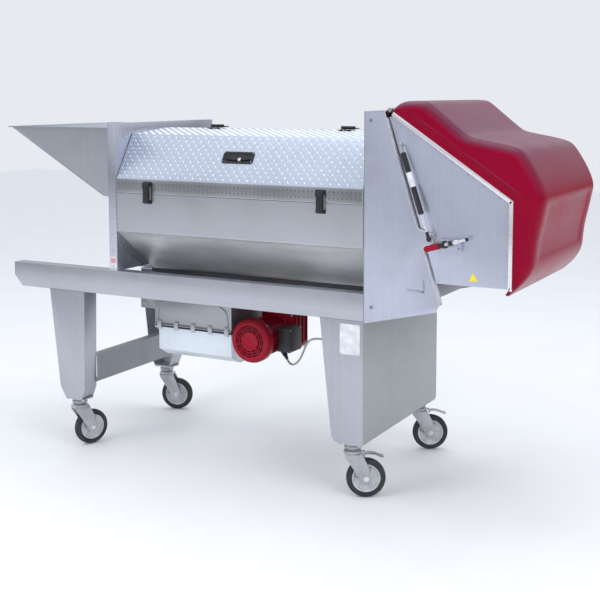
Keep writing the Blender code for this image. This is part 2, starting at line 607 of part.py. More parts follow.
# Opening drive head
def head():
    outer = [(0.668, 1.553), (0.705, 1.590), (0.791, 1.588), (0.855, 1.540), (0.927, 1.486), (0.987, 1.454),
             (1.088, 1.434), (1.150, 1.410), (1.194, 1.376), (1.238, 1.310), (1.259, 1.240), (1.249, 1.160),
             (1.228, 1.080), (1.219, 0.985), (1.161, 0.905), (1.130, 0.878)]
    seam = [(1.140, 0.903), (1.140, 1.226), (0.674, 1.540)]
    shell = prism("head_hood", (outer + seam)[::-1], "Y", FRONT, BACK)
    bm = bmesh.new()
    bm.from_mesh(shell.data)
    keys = {(round(x, 4), round(z, 4)) for x, z in outer[1:-1]}
    edges = []
    for edge in bm.edges:
        a, b = edge.verts
        on_side = abs(a.co.y - b.co.y) < 1e-5
        if on_side and all((round(v.co.x, 4), round(v.co.z, 4)) in keys for v in (a, b)):
            edges.append(edge)
    bmesh.ops.bevel(bm, geom=edges, offset=0.030, segments=3, profile=0.5, affect="EDGES")
    bm.to_mesh(shell.data)
    bm.free()
    wall = 0.005
    inner = shifted((outer + [(1.10, 0.80), (0.60, 1.45)])[::-1], wall)
    cut(shell, prism("hood_inside", inner, "Y", FRONT + wall, BACK - wall))
    paint(hinged(rounded(shell), (HEAD_HINGE[0], 0, HEAD_HINGE[1])), RED)
    panel = [(0.853, 0.905), (1.148, 0.905), (1.152, 0.915), (1.152, 1.236), (0.700, 1.541), (0.657, 1.528)]
    side = prism("head_side_front", panel, "Y", FRONT + wall + 0.0005, FRONT + wall + 0.0035)
    flange = strip([(0.657, 1.528), (0.853, 0.905)], SHEET)
    add(side, prism("side_flange", flange, "Y", FRONT + wall + 0.001, FRONT + wall + 0.028))
    add(side, cylinder("head_stud", "Y", FRONT - 0.0145, FRONT + wall + 0.002, STRUT_HEAD, 0.005, 12))
    rear = mirrored(side, "head_side_rear")
    clamp_pad = box("clamp_pad", (0.872, FRONT - 0.008, 1.035), (0.955, FRONT + wall + 0.002, 1.078))
    add(side, clamp_pad)
    for obj in (side, rear):
        paint(hinged(obj, (HEAD_HINGE[0], 0, HEAD_HINGE[1])), STEEL)
    grip = cylinder("clamp_lever", "X", 0.812, 0.872, (FRONT - 0.0215, CLAMP_PIVOT[1]), 0.0125, 12)
    rod = cylinder("clamp_rod", "X", 0.868, 0.990, (FRONT - 0.0215, CLAMP_PIVOT[1]), 0.0075, 12)
    add(grip, rod)
    turned(grip, "Y", -16, (CLAMP_PIVOT[0], 0, CLAMP_PIVOT[1]))
    paint(hinged(grip, (CLAMP_PIVOT[0], FRONT - 0.0215, CLAMP_PIVOT[1])), MOTOR_RED)


def strut():
    foot = Vector((STRUT_FOOT[0], FRONT - 0.026, STRUT_FOOT[1]))
    top = Vector((STRUT_HEAD[0], FRONT - 0.026, STRUT_HEAD[1]))
    length = (top - foot).length
    lean = math.degrees(math.atan2(top.x - foot.x, top.z - foot.z))
    x, y, z = foot
    rod = cylinder("strut_front_rod", "Z", z + 0.006, z + 0.215, (x, y), 0.0048, 12)
    add(rod, cylinder("rod_eye", "Y", y - 0.008, y + 0.008, (x, z), 0.010, 16))
    tube = cylinder("strut_front_tube", "Z", z + 0.090, z + length - 0.006, (x, y), 0.0110, 20)
    add(tube, cylinder("tube_eye", "Y", y - 0.008, y + 0.008, (x, z + length), 0.010, 16))
    cut(tube, cylinder("tube_bore", "Z", z + 0.07, z + 0.26, (x, y), 0.0056, 12))
    for obj, look in ((rod, ZINC), (tube, BLACK)):
        turned(obj, "Y", lean, foot)
        rounded(obj)
        back = rounded(mirrored(obj, obj.name.replace("front", "rear")))
        paint(hinged(obj, foot), look)
        paint(hinged(back, (foot.x, -foot.y, foot.z)), look)


# Casters
def caster_shapes():
    """Fork, wheel and brake pedal with the swivel axis at the origin and the wheel trailing towards +X."""
    fork = cylinder("fork", "Z", 0.196, LEG_BOTTOM - GAP, (0, 0), 0.034, 24)
    crown = box("fork_crown", (-0.034, -0.027, 0.172), (0.040, 0.027, 0.198))
    cheek = [(-0.034, 0.180), (0.030, 0.060), (0.068, 0.060), (0.075, 0.100), (0.040, 0.180)]
    cheeks = joined("fork_cheeks", [
        prism("cheek_a", cheek, "Y", -0.027, -0.023),
        prism("cheek_b", cheek, "Y", 0.023, 0.027),
    ])
    add(fork, crown, cheeks, cylinder("axle", "Y", -0.031, 0.031, (TRAIL, WHEEL_R), 0.0080, 12))
    profile = [(0.0086, -0.0195), (0.0086, 0.0195), (0.022, 0.0195), (0.026, 0.012), (0.055, 0.012),
               (0.060, 0.017), (0.074, 0.016), (WHEEL_R, 0.010), (WHEEL_R, -0.010), (0.074, -0.016),
               (0.060, -0.017), (0.055, -0.012), (0.026, -0.012), (0.022, -0.0195)]
    bm = bmesh.new()
    sides = 36
    rings = []
    for i in range(sides):
        angle = 2 * math.pi * (i + 0.5) / sides
        rings.append([bm.verts.new((TRAIL + r * math.sin(angle), y, WHEEL_R + r * math.cos(angle)))
                      for r, y in profile])
    for i, ring in enumerate(rings):
        other = rings[(i + 1) % sides]
        for j in range(len(profile)):
            k = (j + 1) % len(profile)
            bm.faces.new((ring[j], ring[k], other[k], other[j]))
    wheel = finish("wheel", bm)
    low = min(v.co.z for v in wheel.data.vertices)
    wheel.data.transform(Matrix.Translation((0, 0, -low)))
    pedal = prism("pedal", [(0.0435, 0.176), (0.050, 0.170), (0.120, 0.166), (0.124, 0.170), (0.060, 0.184),
                            (0.0435, 0.184)], "Y", -0.021, 0.021)
    return fork, wheel, pedal


def casters():
    fork, wheel, pedal = caster_shapes()
    spots = [
        ("right_front", RIGHT_SWIVEL_X, -SWIVEL_Y, RIGHT_HEADING, True),
        ("right_rear", RIGHT_SWIVEL_X, SWIVEL_Y, RIGHT_HEADING, True),
        ("left_front", LEFT_SWIVEL_X, -SWIVEL_Y, LEFT_FRONT_HEADING, False),
        ("left_rear", LEFT_SWIVEL_X, SWIVEL_Y, LEFT_REAR_HEADING, False),
    ]
    for name, x, y, heading, braked in spots:
        pieces = [(fork, "fork_", (0, 0, 0), ZINC), (wheel, "wheel_", (TRAIL, 0, WHEEL_R), RUBBER)]
        if braked:
            pieces.append((pedal, "pedal_", (0.0465, 0, 0.180), ZINC))
        for shape, prefix, axis, look in pieces:
            obj = bpy.data.objects.new(prefix + name, shape.data.copy())
            PARTS.objects.link(obj)
            obj.data.transform(Matrix.Translation(-Vector(axis)))
            turn = Matrix.Rotation(heading, 4, "Z")
            obj.location = Vector((x, y, 0)) + turn @ Vector(axis)
            obj.rotation_euler = (0, 0, heading)
            paint(rounded(obj), look)
    for shape in (fork, wheel, pedal):
        bpy.data.objects.remove(shape)


rails()
legs()
end_plates()
gussets()
drive_wall()
covers()
trough_outlet()
hopper()
cage()
beater()
belt_drive()
crusher()
motor_cable()
head()
strut()
casters()
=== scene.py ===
"""Grape crusher destemmer on casters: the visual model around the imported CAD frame.

Metres, +Z up, +X towards the red drive head, -Y the front with the opening lid.
"""
import math

import bmesh
import bpy
from mathutils import Matrix, Vector, noise


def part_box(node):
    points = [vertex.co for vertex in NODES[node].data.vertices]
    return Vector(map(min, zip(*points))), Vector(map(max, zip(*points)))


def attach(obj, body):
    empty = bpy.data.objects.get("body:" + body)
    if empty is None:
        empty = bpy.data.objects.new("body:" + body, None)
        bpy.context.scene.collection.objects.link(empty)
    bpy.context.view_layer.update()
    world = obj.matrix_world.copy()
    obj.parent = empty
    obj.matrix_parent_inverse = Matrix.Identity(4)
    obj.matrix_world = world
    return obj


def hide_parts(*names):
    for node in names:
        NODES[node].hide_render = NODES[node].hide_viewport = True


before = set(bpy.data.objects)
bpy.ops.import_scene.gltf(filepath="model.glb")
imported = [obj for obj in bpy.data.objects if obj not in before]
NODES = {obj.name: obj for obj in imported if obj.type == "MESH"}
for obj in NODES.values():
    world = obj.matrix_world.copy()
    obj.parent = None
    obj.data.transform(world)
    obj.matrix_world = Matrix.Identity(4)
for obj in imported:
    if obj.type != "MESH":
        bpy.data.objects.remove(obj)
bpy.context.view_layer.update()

FRONT, BACK = -0.3875, 0.3875


# Camera, light and floor
def linked(name, data):
    """A new object in the scene."""
    obj = bpy.data.objects.new(name, data)
    bpy.context.scene.collection.objects.link(obj)
    return obj


def mesh_of(name, bm):
    """The finished mesh."""
    mesh = bpy.data.meshes.new(name)
    bm.to_mesh(mesh)
    bm.free()
    return mesh


def stage_and_light():
    camera = linked("camera", bpy.data.cameras.new("camera"))
    camera.location = (2.371, -4.2447, 1.6192)
    camera.rotation_euler = (math.radians(83.975), math.radians(0.09), math.radians(28.55))
    camera.data.sensor_width = 36
    camera.data.lens = 66.47
    camera.data.shift_y = -0.15
    bpy.context.scene.camera = camera

    world = bpy.data.worlds.new("studio")
    bpy.context.scene.world = world
    world.use_nodes = True
    tree = world.node_tree
    tree.nodes.clear()
    out = tree.nodes.new("ShaderNodeOutputWorld")
    back = tree.nodes.new("ShaderNodeBackground")
    ramp = tree.nodes.new("ShaderNodeValToRGB")
    split = tree.nodes.new("ShaderNodeSeparateXYZ")
    coords = tree.nodes.new("ShaderNodeTexCoord")
    back.inputs["Strength"].default_value = 1.0
    ramp.color_ramp.elements[0].position = 0.0
    ramp.color_ramp.elements[0].color = (0.3, 0.3, 0.31, 1)
    ramp.color_ramp.elements[1].position = 0.9
    ramp.color_ramp.elements[1].color = (0.86, 0.91, 1.0, 1)
    for place, tone in ((0.06, (0.42, 0.42, 0.43, 1)), (0.3, (0.84, 0.87, 0.93, 1))):
        ramp.color_ramp.elements.new(place).color = tone
    tree.links.new(coords.outputs["Generated"], split.inputs[0])
    tree.links.new(split.outputs["Z"], ramp.inputs["Fac"])
    tree.links.new(ramp.outputs["Color"], back.inputs["Color"])
    tree.links.new(back.outputs["Background"], out.inputs["Surface"])

    for name, place, aim, size, power in (
            ("key", (-2.4, -4.2, 4.6), (0, 0, 0.9), 2.6, 95),
            ("side", (4.4, -2.6, 3.2), (0.6, 0, 1.0), 2.2, 55),
            ("top", (0.2, 0.6, 4.6), (0, 0, 0.8), 3.4, 60)):
        lamp = bpy.data.lights.new(name, "AREA")
        lamp.size = size
        lamp.energy = power
        obj = linked(name, lamp)
        obj.location = place
        obj.rotation_euler = (Vector(aim) - Vector(place)).to_track_quat("-Z", "Y").to_euler()
        obj.visible_glossy = name == "top"

    bm = bmesh.new()
    bmesh.ops.create_grid(bm, x_segments=8, y_segments=8, size=14)
    mesh = mesh_of("floor", bm)
    floor = linked("floor", mesh)
    floor.location.z = -0.0004
    floor.data.materials.append(plain("floor_paint", (0.88, 0.88, 0.88), 0.6))

    bm = bmesh.new()
    bmesh.ops.create_uvsphere(bm, u_segments=48, v_segments=24, radius=40)
    bmesh.ops.reverse_faces(bm, faces=bm.faces)
    mesh = mesh_of("backdrop", bm)
    dome = linked("backdrop", mesh)
    paper = Shade("backdrop_paper")
    paper.set(Base_Color=(0.0, 0.0, 0.0), Emission_Color=(0.8, 0.825, 0.87), Emission_Strength=1.0,
              Specular_IOR_Level=0.0)
    mesh.materials.append(paper.material)
    for ray in ("diffuse", "glossy", "transmission", "volume_scatter", "shadow"):
        setattr(dome, "visible_" + ray, False)
    bpy.context.scene.view_settings.view_transform = "Standard"


# Materials
class Shade:
    """A small helper that builds one node material."""

    def __init__(self, name):
        self.material = bpy.data.materials.new(name)
        self.material.use_nodes = True
        self.tree = self.material.node_tree
        self.shader = self.tree.nodes["Principled BSDF"]
        self.coords = self.tree.nodes.new("ShaderNodeTexCoord")

    def node(self, kind, **values):
        made = self.tree.nodes.new(kind)
        for key, value in values.items():
            if hasattr(made, key):
                setattr(made, key, value)
            else:
                made.inputs[key.replace("_", " ")].default_value = value
        return made

    def link(self, a, b):
        self.tree.links.new(a, b)

    def mapped(self, scale):
        """Object coordinates stretched by scale."""
        mapping = self.tree.nodes.new("ShaderNodeMapping")
        mapping.inputs["Scale"].default_value = scale
        self.link(self.coords.outputs["Object"], mapping.inputs["Vector"])
        return mapping.outputs["Vector"]

    def noise(self, scale, detail=4.0, stretch=(1, 1, 1), rough=0.5):
        made = self.node("ShaderNodeTexNoise", Scale=scale, Detail=detail, Roughness=rough)
        self.link(self.mapped(stretch), made.inputs["Vector"])
        return made.outputs["Fac"]

    def ramp(self, source, stops):
        made = self.tree.nodes.new("ShaderNodeValToRGB")
        elements = made.color_ramp.elements
        while len(elements) < len(stops):
            elements.new(0.5)
        for element, (position, value) in zip(elements, stops):
            element.position = position
            element.color = (*value, 1) if isinstance(value, tuple) else (value, value, value, 1)
        self.link(source, made.inputs["Fac"])
        return made.outputs["Color"]

    def mix(self, factor, a, b, mode="MIX"):
        made = self.tree.nodes.new("ShaderNodeMix")
        made.data_type = "RGBA"
        made.blend_type = mode
        for socket, value in ((made.inputs["Factor"], factor), (made.inputs[6], a), (made.inputs[7], b)):
            if isinstance(value, bpy.types.NodeSocket):
                self.link(value, socket)
            elif isinstance(value, tuple):
                socket.default_value = (*value, 1)
            else:
                socket.default_value = value
        return made.outputs[2]

    def bump(self, height, strength, distance):
        made = self.node("ShaderNodeBump", Strength=strength, Distance=distance)
        self.link(height, made.inputs["Height"])
        return made.outputs["Normal"]

    def height(self, low, high):
        """Rises from 0 at the height low to 1 at the height high."""
        split = self.tree.nodes.new("ShaderNodeSeparateXYZ")
        self.link(self.coords.outputs["Object"], split.inputs[0])
        made = self.node("ShaderNodeMapRange", From_Min=low, From_Max=high)
        self.link(split.outputs["Z"], made.inputs["Value"])
        return made.outputs[0]

    def set(self, **values):
        for key, value in values.items():
            socket = self.shader.inputs[key.replace("_", " ")]
            if isinstance(value, bpy.types.NodeSocket):
                self.link(value, socket)
            elif isinstance(value, tuple):
                socket.default_value = (*value, 1)
            else:
                socket.default_value = value


def plain(name, colour, rough):
    """A matt finish with a faint mottle, for the floor."""
    s = Shade(name)
    mottle = s.noise(3.0, 3)
    dark = tuple(0.985 * c for c in colour)
    s.set(Base_Color=s.ramp(mottle, ((0.4, dark), (0.6, colour))), Roughness=rough)
    return s.material


def stainless(name, colour, grain="X", rough=0.34, metal=0.85, wear=0.1, scratch=0.12):
    """Brushed stainless sheet: fine lines along the grain, cloudy handling marks and a few scratches."""
    s = Shade(name)
    long, across = 1.2, 260.0
    stretch = tuple(long if axis == grain else across for axis in "XYZ")
    lines = s.noise(1.0, 3, stretch, 0.6)
    clouds = s.noise(2.6, 5, (1, 1, 1), 0.6)
    fine = s.noise(38.0, 3, (1, 1, 1), 0.5)
    dark = tuple(c * (1 - wear) for c in colour)
    light = tuple(min(1.0, c * (1 + 0.35 * wear)) for c in colour)
    tone = s.ramp(clouds, ((0.3, dark), (0.5, colour), (0.72, light)))
    lined = s.mix(0.5, tone, s.ramp(lines, ((0.3, 0.86), (0.7, 1.0))), "MULTIPLY")
    s.set(Base_Color=lined, Metallic=metal,
          Roughness=s.ramp(s.mix(0.45, clouds, fine), ((0.3, rough - 0.06), (0.7, rough + 0.1))),
          Normal=s.bump(lines, scratch, 0.0006))
    return s.material


def painted(name, colour, rough, coat):
    """Sprayed paint or gelcoat: a slight orange peel, uneven gloss, and specks of dust."""
    s = Shade(name)
    clouds = s.noise(4.0, 4)
    orange = s.noise(210.0, 2)
    dark = tuple(c * 0.86 for c in colour)
    dust = tuple(0.85 * c + 0.15 * 0.3 for c in colour)
    tone = s.ramp(clouds, ((0.3, dark), (0.55, colour)))
    speck = s.ramp(s.noise(17.0, 5, rough=0.7), ((0.6, 0.0), (0.8, 0.12)))
    s.set(Base_Color=s.mix(speck, tone, dust),
          Roughness=s.ramp(clouds, ((0.3, rough - 0.05), (0.7, rough + 0.08))),
          Coat_Weight=coat, Coat_Roughness=0.16, Specular_IOR_Level=0.2,
          Normal=s.bump(orange, 0.05, 0.0004))
    return s.material


def hood_gelcoat():
    """Crimson gelcoat, with painted sky reflection where it faces up."""
    s = Shade("hood_gelcoat")
    split = s.tree.nodes.new("ShaderNodeSeparateXYZ")
    s.link(s.coords.outputs["Normal"], split.inputs[0])
    clouds = s.noise(4.0, 4)
    side = s.ramp(clouds, ((0.3, (0.235, 0.0012, 0.02)), (0.6, (0.27, 0.0016, 0.024))))
    # top: the duller, purplish up-facing tone is a painted sky reflection, not a colour of the gelcoat
    top = s.ramp(clouds, ((0.3, (0.13, 0.017, 0.046)), (0.6, (0.155, 0.022, 0.056))))
    sky_reflection_mask = s.ramp(split.outputs["Z"], ((0.18, 0.0), (0.75, 1.0)))
    s.set(Base_Color=s.mix(sky_reflection_mask, side, top),
          Roughness=s.ramp(clouds, ((0.3, 0.2), (0.7, 0.3))),
          Coat_Weight=0.0, Specular_IOR_Level=0.09,
          Normal=s.bump(s.noise(210.0, 2), 0.03, 0.0004))
    return s.material


def plastic(name, colour, rough=0.5, grain=320.0, bump=0.12):
    """Moulded plastic or rubber with a fine grain and slightly polished high spots."""
    s = Shade(name)
    clouds = s.noise(30.0, 4)
    fine = s.noise(grain, 3)
    light = tuple(min(1.0, 1.35 * c + 0.006) for c in colour)
    s.set(Base_Color=s.ramp(clouds, ((0.35, colour), (0.75, light))),
          Roughness=s.ramp(clouds, ((0.3, rough + 0.08), (0.7, rough - 0.08))),
          Normal=s.bump(fine, bump, 0.0005))
    return s.material


def cast(name, colour, rough=0.45, metal=0.6):
    """Sand-cast or forged metal: a pebbled skin with darker hollows."""
    s = Shade(name)
    skin = s.noise(150.0, 4, rough=0.65)
    clouds = s.noise(9.0, 4)
    dark = tuple(0.72 * c for c in colour)
    tone = s.ramp(clouds, ((0.3, dark), (0.6, colour)))
    s.set(Base_Color=s.mix(0.35, tone, s.ramp(skin, ((0.3, 0.6), (0.6, 1.0))), "MULTIPLY"),
          Metallic=metal, Roughness=rough, Normal=s.bump(skin, 0.25, 0.0006))
    return s.material


def trough_steel():
    """Front of the trough: brushed above the fold, and on the slope below it a dull tone of painted shade
    with streaks of painted reflection.
    """
    s = Shade("trough_steel")
    lines = s.noise(1.0, 3, (1.2, 260, 260), 0.6)
    clouds = s.noise(2.6, 5)
    painted_reflection_streaks = s.noise(1.0, 4, (2.2, 7.0, 7.0), 0.6)
    height = s.height(1.008, 1.024)
    face = s.ramp(clouds, ((0.3, (0.41, 0.42, 0.455)), (0.55, (0.47, 0.48, 0.52))))
    # slope: painted shade under the trough, dull and streaked with painted reflections
    slope = s.ramp(painted_reflection_streaks, ((0.3, (0.4, 0.41, 0.415)), (0.5, (0.58, 0.595, 0.6)),
                             (0.7, (0.7, 0.71, 0.71))))
    tone = s.mix(height, slope, face)
    s.set(Base_Color=s.mix(0.5, tone, s.ramp(lines, ((0.3, 0.86), (0.7, 1.0))), "MULTIPLY"),
          Metallic=s.ramp(height, ((0.0, 0.15), (1.0, 0.85))),
          Roughness=s.ramp(clouds, ((0.3, 0.3), (0.7, 0.42))), Normal=s.bump(lines, 0.12, 0.0006))
    return s.material


def tread_steel():
    """Chequer plate of the lid: painted sky reflection makes the sloping face bright and blue, painted shade
    makes the skirt below the fold dark.
    """
    s = Shade("tread_steel")
    clouds = s.noise(3.2, 5)
    fine = s.noise(60.0, 4)
    height = s.height(1.247, 1.252)
    # face: painted sky reflection; skirt: painted shade
    face = s.ramp(clouds, ((0.3, (0.58, 0.63, 0.73)), (0.6, (0.66, 0.71, 0.82))))
    skirt = s.ramp(clouds, ((0.3, (0.26, 0.27, 0.275)), (0.6, (0.34, 0.35, 0.36))))
    tone = s.mix(height, skirt, face)
    s.set(Base_Color=s.mix(0.5, tone, s.ramp(fine, ((0.3, 0.88), (0.7, 1.0))), "MULTIPLY"), Metallic=0.85,
          Roughness=s.ramp(fine, ((0.3, 0.3), (0.7, 0.42))), Normal=s.bump(fine, 0.1, 0.0005))
    return s.material


M = {}


def make_materials():
    M["rail"] = stainless("rail_steel", (0.5, 0.52, 0.57), "X")
    M["leg"] = stainless("leg_steel", (0.5, 0.52, 0.57), "Z")
    # the darker, less blue tone of this steel is painted reflection of the ground
    M["panel"] = stainless("end_panel_steel", (0.42, 0.44, 0.45), "Z", rough=0.42, metal=0.7)
    # the blue tint of this steel on gussets and head sides is painted sky reflection
    M["side"] = stainless("drive_side_steel", (0.56, 0.59, 0.7), "Z", rough=0.38)
    M["sheet"] = stainless("sheet_steel", (0.5, 0.52, 0.56), "X")
    M["dull"] = stainless("dull_steel", (0.33, 0.34, 0.36), "X", rough=0.45, wear=0.2)
    M["hopper"] = stainless("hopper_steel", (0.36, 0.385, 0.415), "Z", rough=0.42)
    M["trough"] = trough_steel()
    M["tread"] = tread_steel()
    # lugs: the bright blue of the sloping faces is painted sky reflection, the dark of the skirt is painted
    # shade
    M["lug"] = stainless("tread_lug_sky_reflection", (0.72, 0.77, 0.88), "X", rough=0.26, wear=0.05)
    M["painted_shade_lug"] = stainless("skirt_lug_painted_shade", (0.15, 0.155, 0.16), "X", rough=0.34, wear=0.1)
    M["inner"] = stainless("polished_plate", (0.52, 0.54, 0.62), "Z", rough=0.22, wear=0.05)
    M["tray"] = stainless("tray_steel", (0.8, 0.86, 0.93), "Z", rough=0.36, metal=0.6)
    M["crusher"] = stainless("crusher_steel", (0.42, 0.44, 0.46), "X", rough=0.4)
    M["hood"] = hood_gelcoat()
    M["red"] = painted("motor_paint", (0.32, 0.003, 0.02), rough=0.36, coat=0.05)
    M["black"] = plastic("black_plastic", (0.012, 0.012, 0.014), 0.45)
    M["rubber"] = plastic("tyre_rubber", (0.026, 0.026, 0.029), 0.7, 420.0, 0.2)
    M["hub"] = plastic("wheel_hub", (0.5, 0.52, 0.54), 0.42)
    M["zinc"] = cast("zinc_plate", (0.56, 0.57, 0.6), 0.34, 0.95)
    M["iron"] = cast("grey_casting", (0.3, 0.31, 0.32), 0.5, 0.6)
    M["iron_dark"] = cast("dark_casting", (0.055, 0.058, 0.062), 0.5, 0.3)
    # pale grey of the strips of painted highlight on the gusset flanges
    M["edge_highlight"] = plastic("gusset_highlight_paint", (0.6, 0.62, 0.66), 0.7, 420.0, 0.2)
    # the faint pink of this bright steel is a painted reflection of the red hood
    M["bright"] = stainless("bright_trim", (0.84, 0.8, 0.84), "X", rough=0.25, metal=0.7)
    M["cable"] = plastic("cable_sheath", (0.33, 0.34, 0.35), 0.5)
    M["belt"] = plastic("belt_rubber", (0.018, 0.018, 0.018), 0.8)
    M["label"] = plastic("blank_label", (0.62, 0.635, 0.67), 0.4, 500.0, 0.03)
    M["yellow"] = plastic("yellow_label", (0.8, 0.62, 0.03), 0.4, 500.0, 0.03)
    M["pink"] = plastic("sticker_patch", (0.62, 0.3, 0.3), 0.5, 300.0, 0.03)
    M["dark_steel"] = stainless("dark_steel", (0.1, 0.1, 0.11), "Z", rough=0.4)


def smooth_group():
    """Shades smooth except where two faces meet at more than 35 degrees."""
    tree = bpy.data.node_groups.new("soft_shading", "GeometryNodeTree")
    tree.interface.new_socket("Geometry", in_out="INPUT", socket_type="NodeSocketGeometry")
    tree.interface.new_socket("Geometry", in_out="OUTPUT", socket_type="NodeSocketGeometry")
    start, end = tree.nodes.new("NodeGroupInput"), tree.nodes.new("NodeGroupOutput")
    faces, edges = (tree.nodes.new("GeometryNodeSetShadeSmooth") for _ in range(2))
    faces.domain, edges.domain = "FACE", "EDGE"
    angle = tree.nodes.new("GeometryNodeInputMeshEdgeAngle")
    less = tree.nodes.new("FunctionNodeCompare")
    less.operation = "LESS_THAN"
    less.inputs[1].default_value = math.radians(35)
    tree.links.new(angle.outputs["Unsigned Angle"], less.inputs[0])
    tree.links.new(start.outputs[0], faces.inputs["Geometry"])
    tree.links.new(faces.outputs[0], edges.inputs["Geometry"])
    tree.links.new(less.outputs[0], edges.inputs["Shade Smooth"])
    tree.links.new(edges.outputs[0], end.inputs[0])
    return tree


def soften(obj, bevel=0.0, segments=2):
    """Merges the split corners, rounds the sharp edges and shades the rest smooth."""
    weld = obj.modifiers.new("weld", "WELD")
    weld.merge_threshold = 0.00002
    if bevel:
        edge = obj.modifiers.new("edges", "BEVEL")
        edge.width = bevel
        edge.segments = segments
        edge.limit_method = "ANGLE"
        edge.angle_limit = math.radians(38)
    shade = obj.modifiers.new("shade", "NODES")
    shade.node_group = SOFT
    return obj


def dress(name, look, bevel=0.0008):
    """Gives a CAD node its material and soft edges."""
    node = NODES[name]
    node.data.materials.clear()
    node.data.materials.append(M[look])
    soften(node, bevel)


# Shapes
def brick(bm, low, high, at=Matrix()):
    low, high = Vector(low), Vector(high)
    size = high - low
    bmesh.ops.create_cube(bm, size=1, matrix=at @ Matrix.Translation((low + high) / 2)
                          @ Matrix.Diagonal((*size, 1)))


def rod(bm, start, end, radius, end_radius=None, sides=24, at=Matrix()):
    start, end = Vector(start), Vector(end)
    turn = (end - start).to_track_quat("Z", "Y").to_matrix().to_4x4()
    bmesh.ops.create_cone(bm, cap_ends=True, segments=sides, radius1=radius,
                          radius2=radius if end_radius is None else end_radius, depth=(end - start).length,
                          matrix=at @ Matrix.Translation((start + end) / 2) @ turn)


def lathe(bm, profile, sides=32, at=Matrix(), closed=True):
    """Revolves (radius, height) points round the local Z axis."""
    rings = []
    for i in range(sides):
        angle = 2 * math.pi * i / sides
        rings.append([bm.verts.new(at @ Vector((r * math.cos(angle), r * math.sin(angle), h)))
                      for r, h in profile])
    count = len(profile) if closed else len(profile) - 1
    for i, ring in enumerate(rings):
        other = rings[(i + 1) % sides]
        for j in range(count):
            k = (j + 1) % len(profile)
            corners = (ring[j], other[j], other[k], ring[k])
            bm.faces.new(corners)
    bmesh.ops.remove_doubles(bm, verts=[v for ring in rings for v in ring], dist=1e-6)


def plate(bm, outline, thick, at=Matrix()):
    """A flat plate with its outline in local X and Y, from 0 to thick."""
    low = [bm.verts.new(at @ Vector((x, y, 0))) for x, y in outline]
    high = [bm.verts.new(at @ Vector((x, y, thick))) for x, y in outline]
    bm.faces.new(low[::-1])
    bm.faces.new(high)
    for i in range(len(outline)):
        k = (i + 1) % len(outline)
        bm.faces.new((low[i], low[k], high[k], high[i]))


def slab(bm, low, high):
    """A thick four-sided sheet between two rings of corners."""
    low, high = ([bm.verts.new(p) for p in ring] for ring in (low, high))
    bm.faces.new(low)
    bm.faces.new(high[::-1])
    for i in range(4):
        k = (i + 1) % 4
        bm.faces.new((low[i], high[i], high[k], low[k]))


def facing(place, outward, up=(0, 0, 1)):
    """A matrix whose local Z points outward and whose local Y leans towards up."""
    z = Vector(outward).normalized()
    x = Vector(up).cross(z)
    if x.length < 1e-6:
        x = Vector((1, 0, 0))
    x.normalize()
    y = z.cross(x)
    return Matrix.Translation(place) @ Matrix((x, y, z)).transposed().to_4x4()


def rounded_outline(width, height, radius, steps=5):
    points = []
    for cx, cy, first in ((1, 1, 0), (-1, 1, 90), (-1, -1, 180), (1, -1, 270)):
        for i in range(steps + 1):
            angle = math.radians(first + 90 * i / steps)
            points.append((cx * (width / 2 - radius) + radius * math.cos(angle),
                           cy * (height / 2 - radius) + radius * math.sin(angle)))
    return points


def bolt(bm, place, outward, size):
    """A hexagon head on its washer, with a turned chamfer."""
    at = facing(place, outward)
    lift = 0.18 * size
    lathe(bm, [(0, 0), (1.05 * size, 0), (1.05 * size, 0.12 * size), (0.9 * size, lift), (0, lift)], 20, at,
          closed=False)
    rod(bm, (0, 0, lift), (0, 0, lift + 0.42 * size), 0.58 * size, sides=6, at=at)
    rod(bm, (0, 0, lift + 0.42 * size), (0, 0, lift + 0.52 * size), 0.5 * size, 0.38 * size, 12, at)


def button(bm, place, outward, radius=0.004):
    """A domed rivet or button-head screw."""
    lathe(bm, [(0, 0), (radius, 0), (0.92 * radius, 0.28 * radius), (0.62 * radius, 0.52 * radius),
               (0, 0.6 * radius)], 16, facing(place, outward), closed=False)


def bead(bm, start, end, radius=0.0022):
    """A weld bead: a low ridge with overlapping ripples."""
    start, end = Vector(start), Vector(end)
    way = (end - start).normalized()
    side = way.orthogonal().normalized()
    other = way.cross(side)
    steps = max(4, int((end - start).length / 0.0022))
    rings = []
    for i in range(steps + 1):
        centre = start.lerp(end, i / steps)
        wide = radius * (0.84 + 0.16 * math.cos(i * 2.1) + 0.1 * noise.noise(centre * 90))
        if i in (0, steps):
            wide *= 0.4
        rings.append([bm.verts.new(centre + wide * (math.cos(a) * side + math.sin(a) * other))
                      for a in (math.pi * j / 3 for j in range(6))])
    for a, b in zip(rings, rings[1:]):
        for j in range(6):
            bm.faces.new((a[j], a[(j + 1) % 6], b[(j + 1) % 6], b[j]))
    bm.faces.new(rings[0][::-1])
    bm.faces.new(rings[-1])


def piece(name, bm, look, body="frame", bevel=0.0, stands_for=()):
    """Makes the shapes one piece in its material, with soft edges, riding on a body."""
    bmesh.ops.recalc_face_normals(bm, faces=bm.faces)
    mesh = mesh_of(name, bm)
    obj = linked(name, mesh)
    mesh.materials.append(M[look])
    soften(obj, bevel)
    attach(obj, body)
    if stands_for:
        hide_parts(*stands_for)
    return obj


# Cable from the crusher motor
CABLE_R = 0.0045
CABLE_ROUTE = [
    (0.068, -0.131, 0.47), (0.079, -0.1365, 0.46), (0.099, -0.1485, 0.455), (0.124, -0.164, 0.463),
    (0.16, -0.19, 0.491), (0.19, -0.214, 0.53), (0.217, -0.236, 0.57), (0.252, -0.262, 0.601),
    (0.305, -0.29, 0.617), (0.364, -0.312, 0.62)]


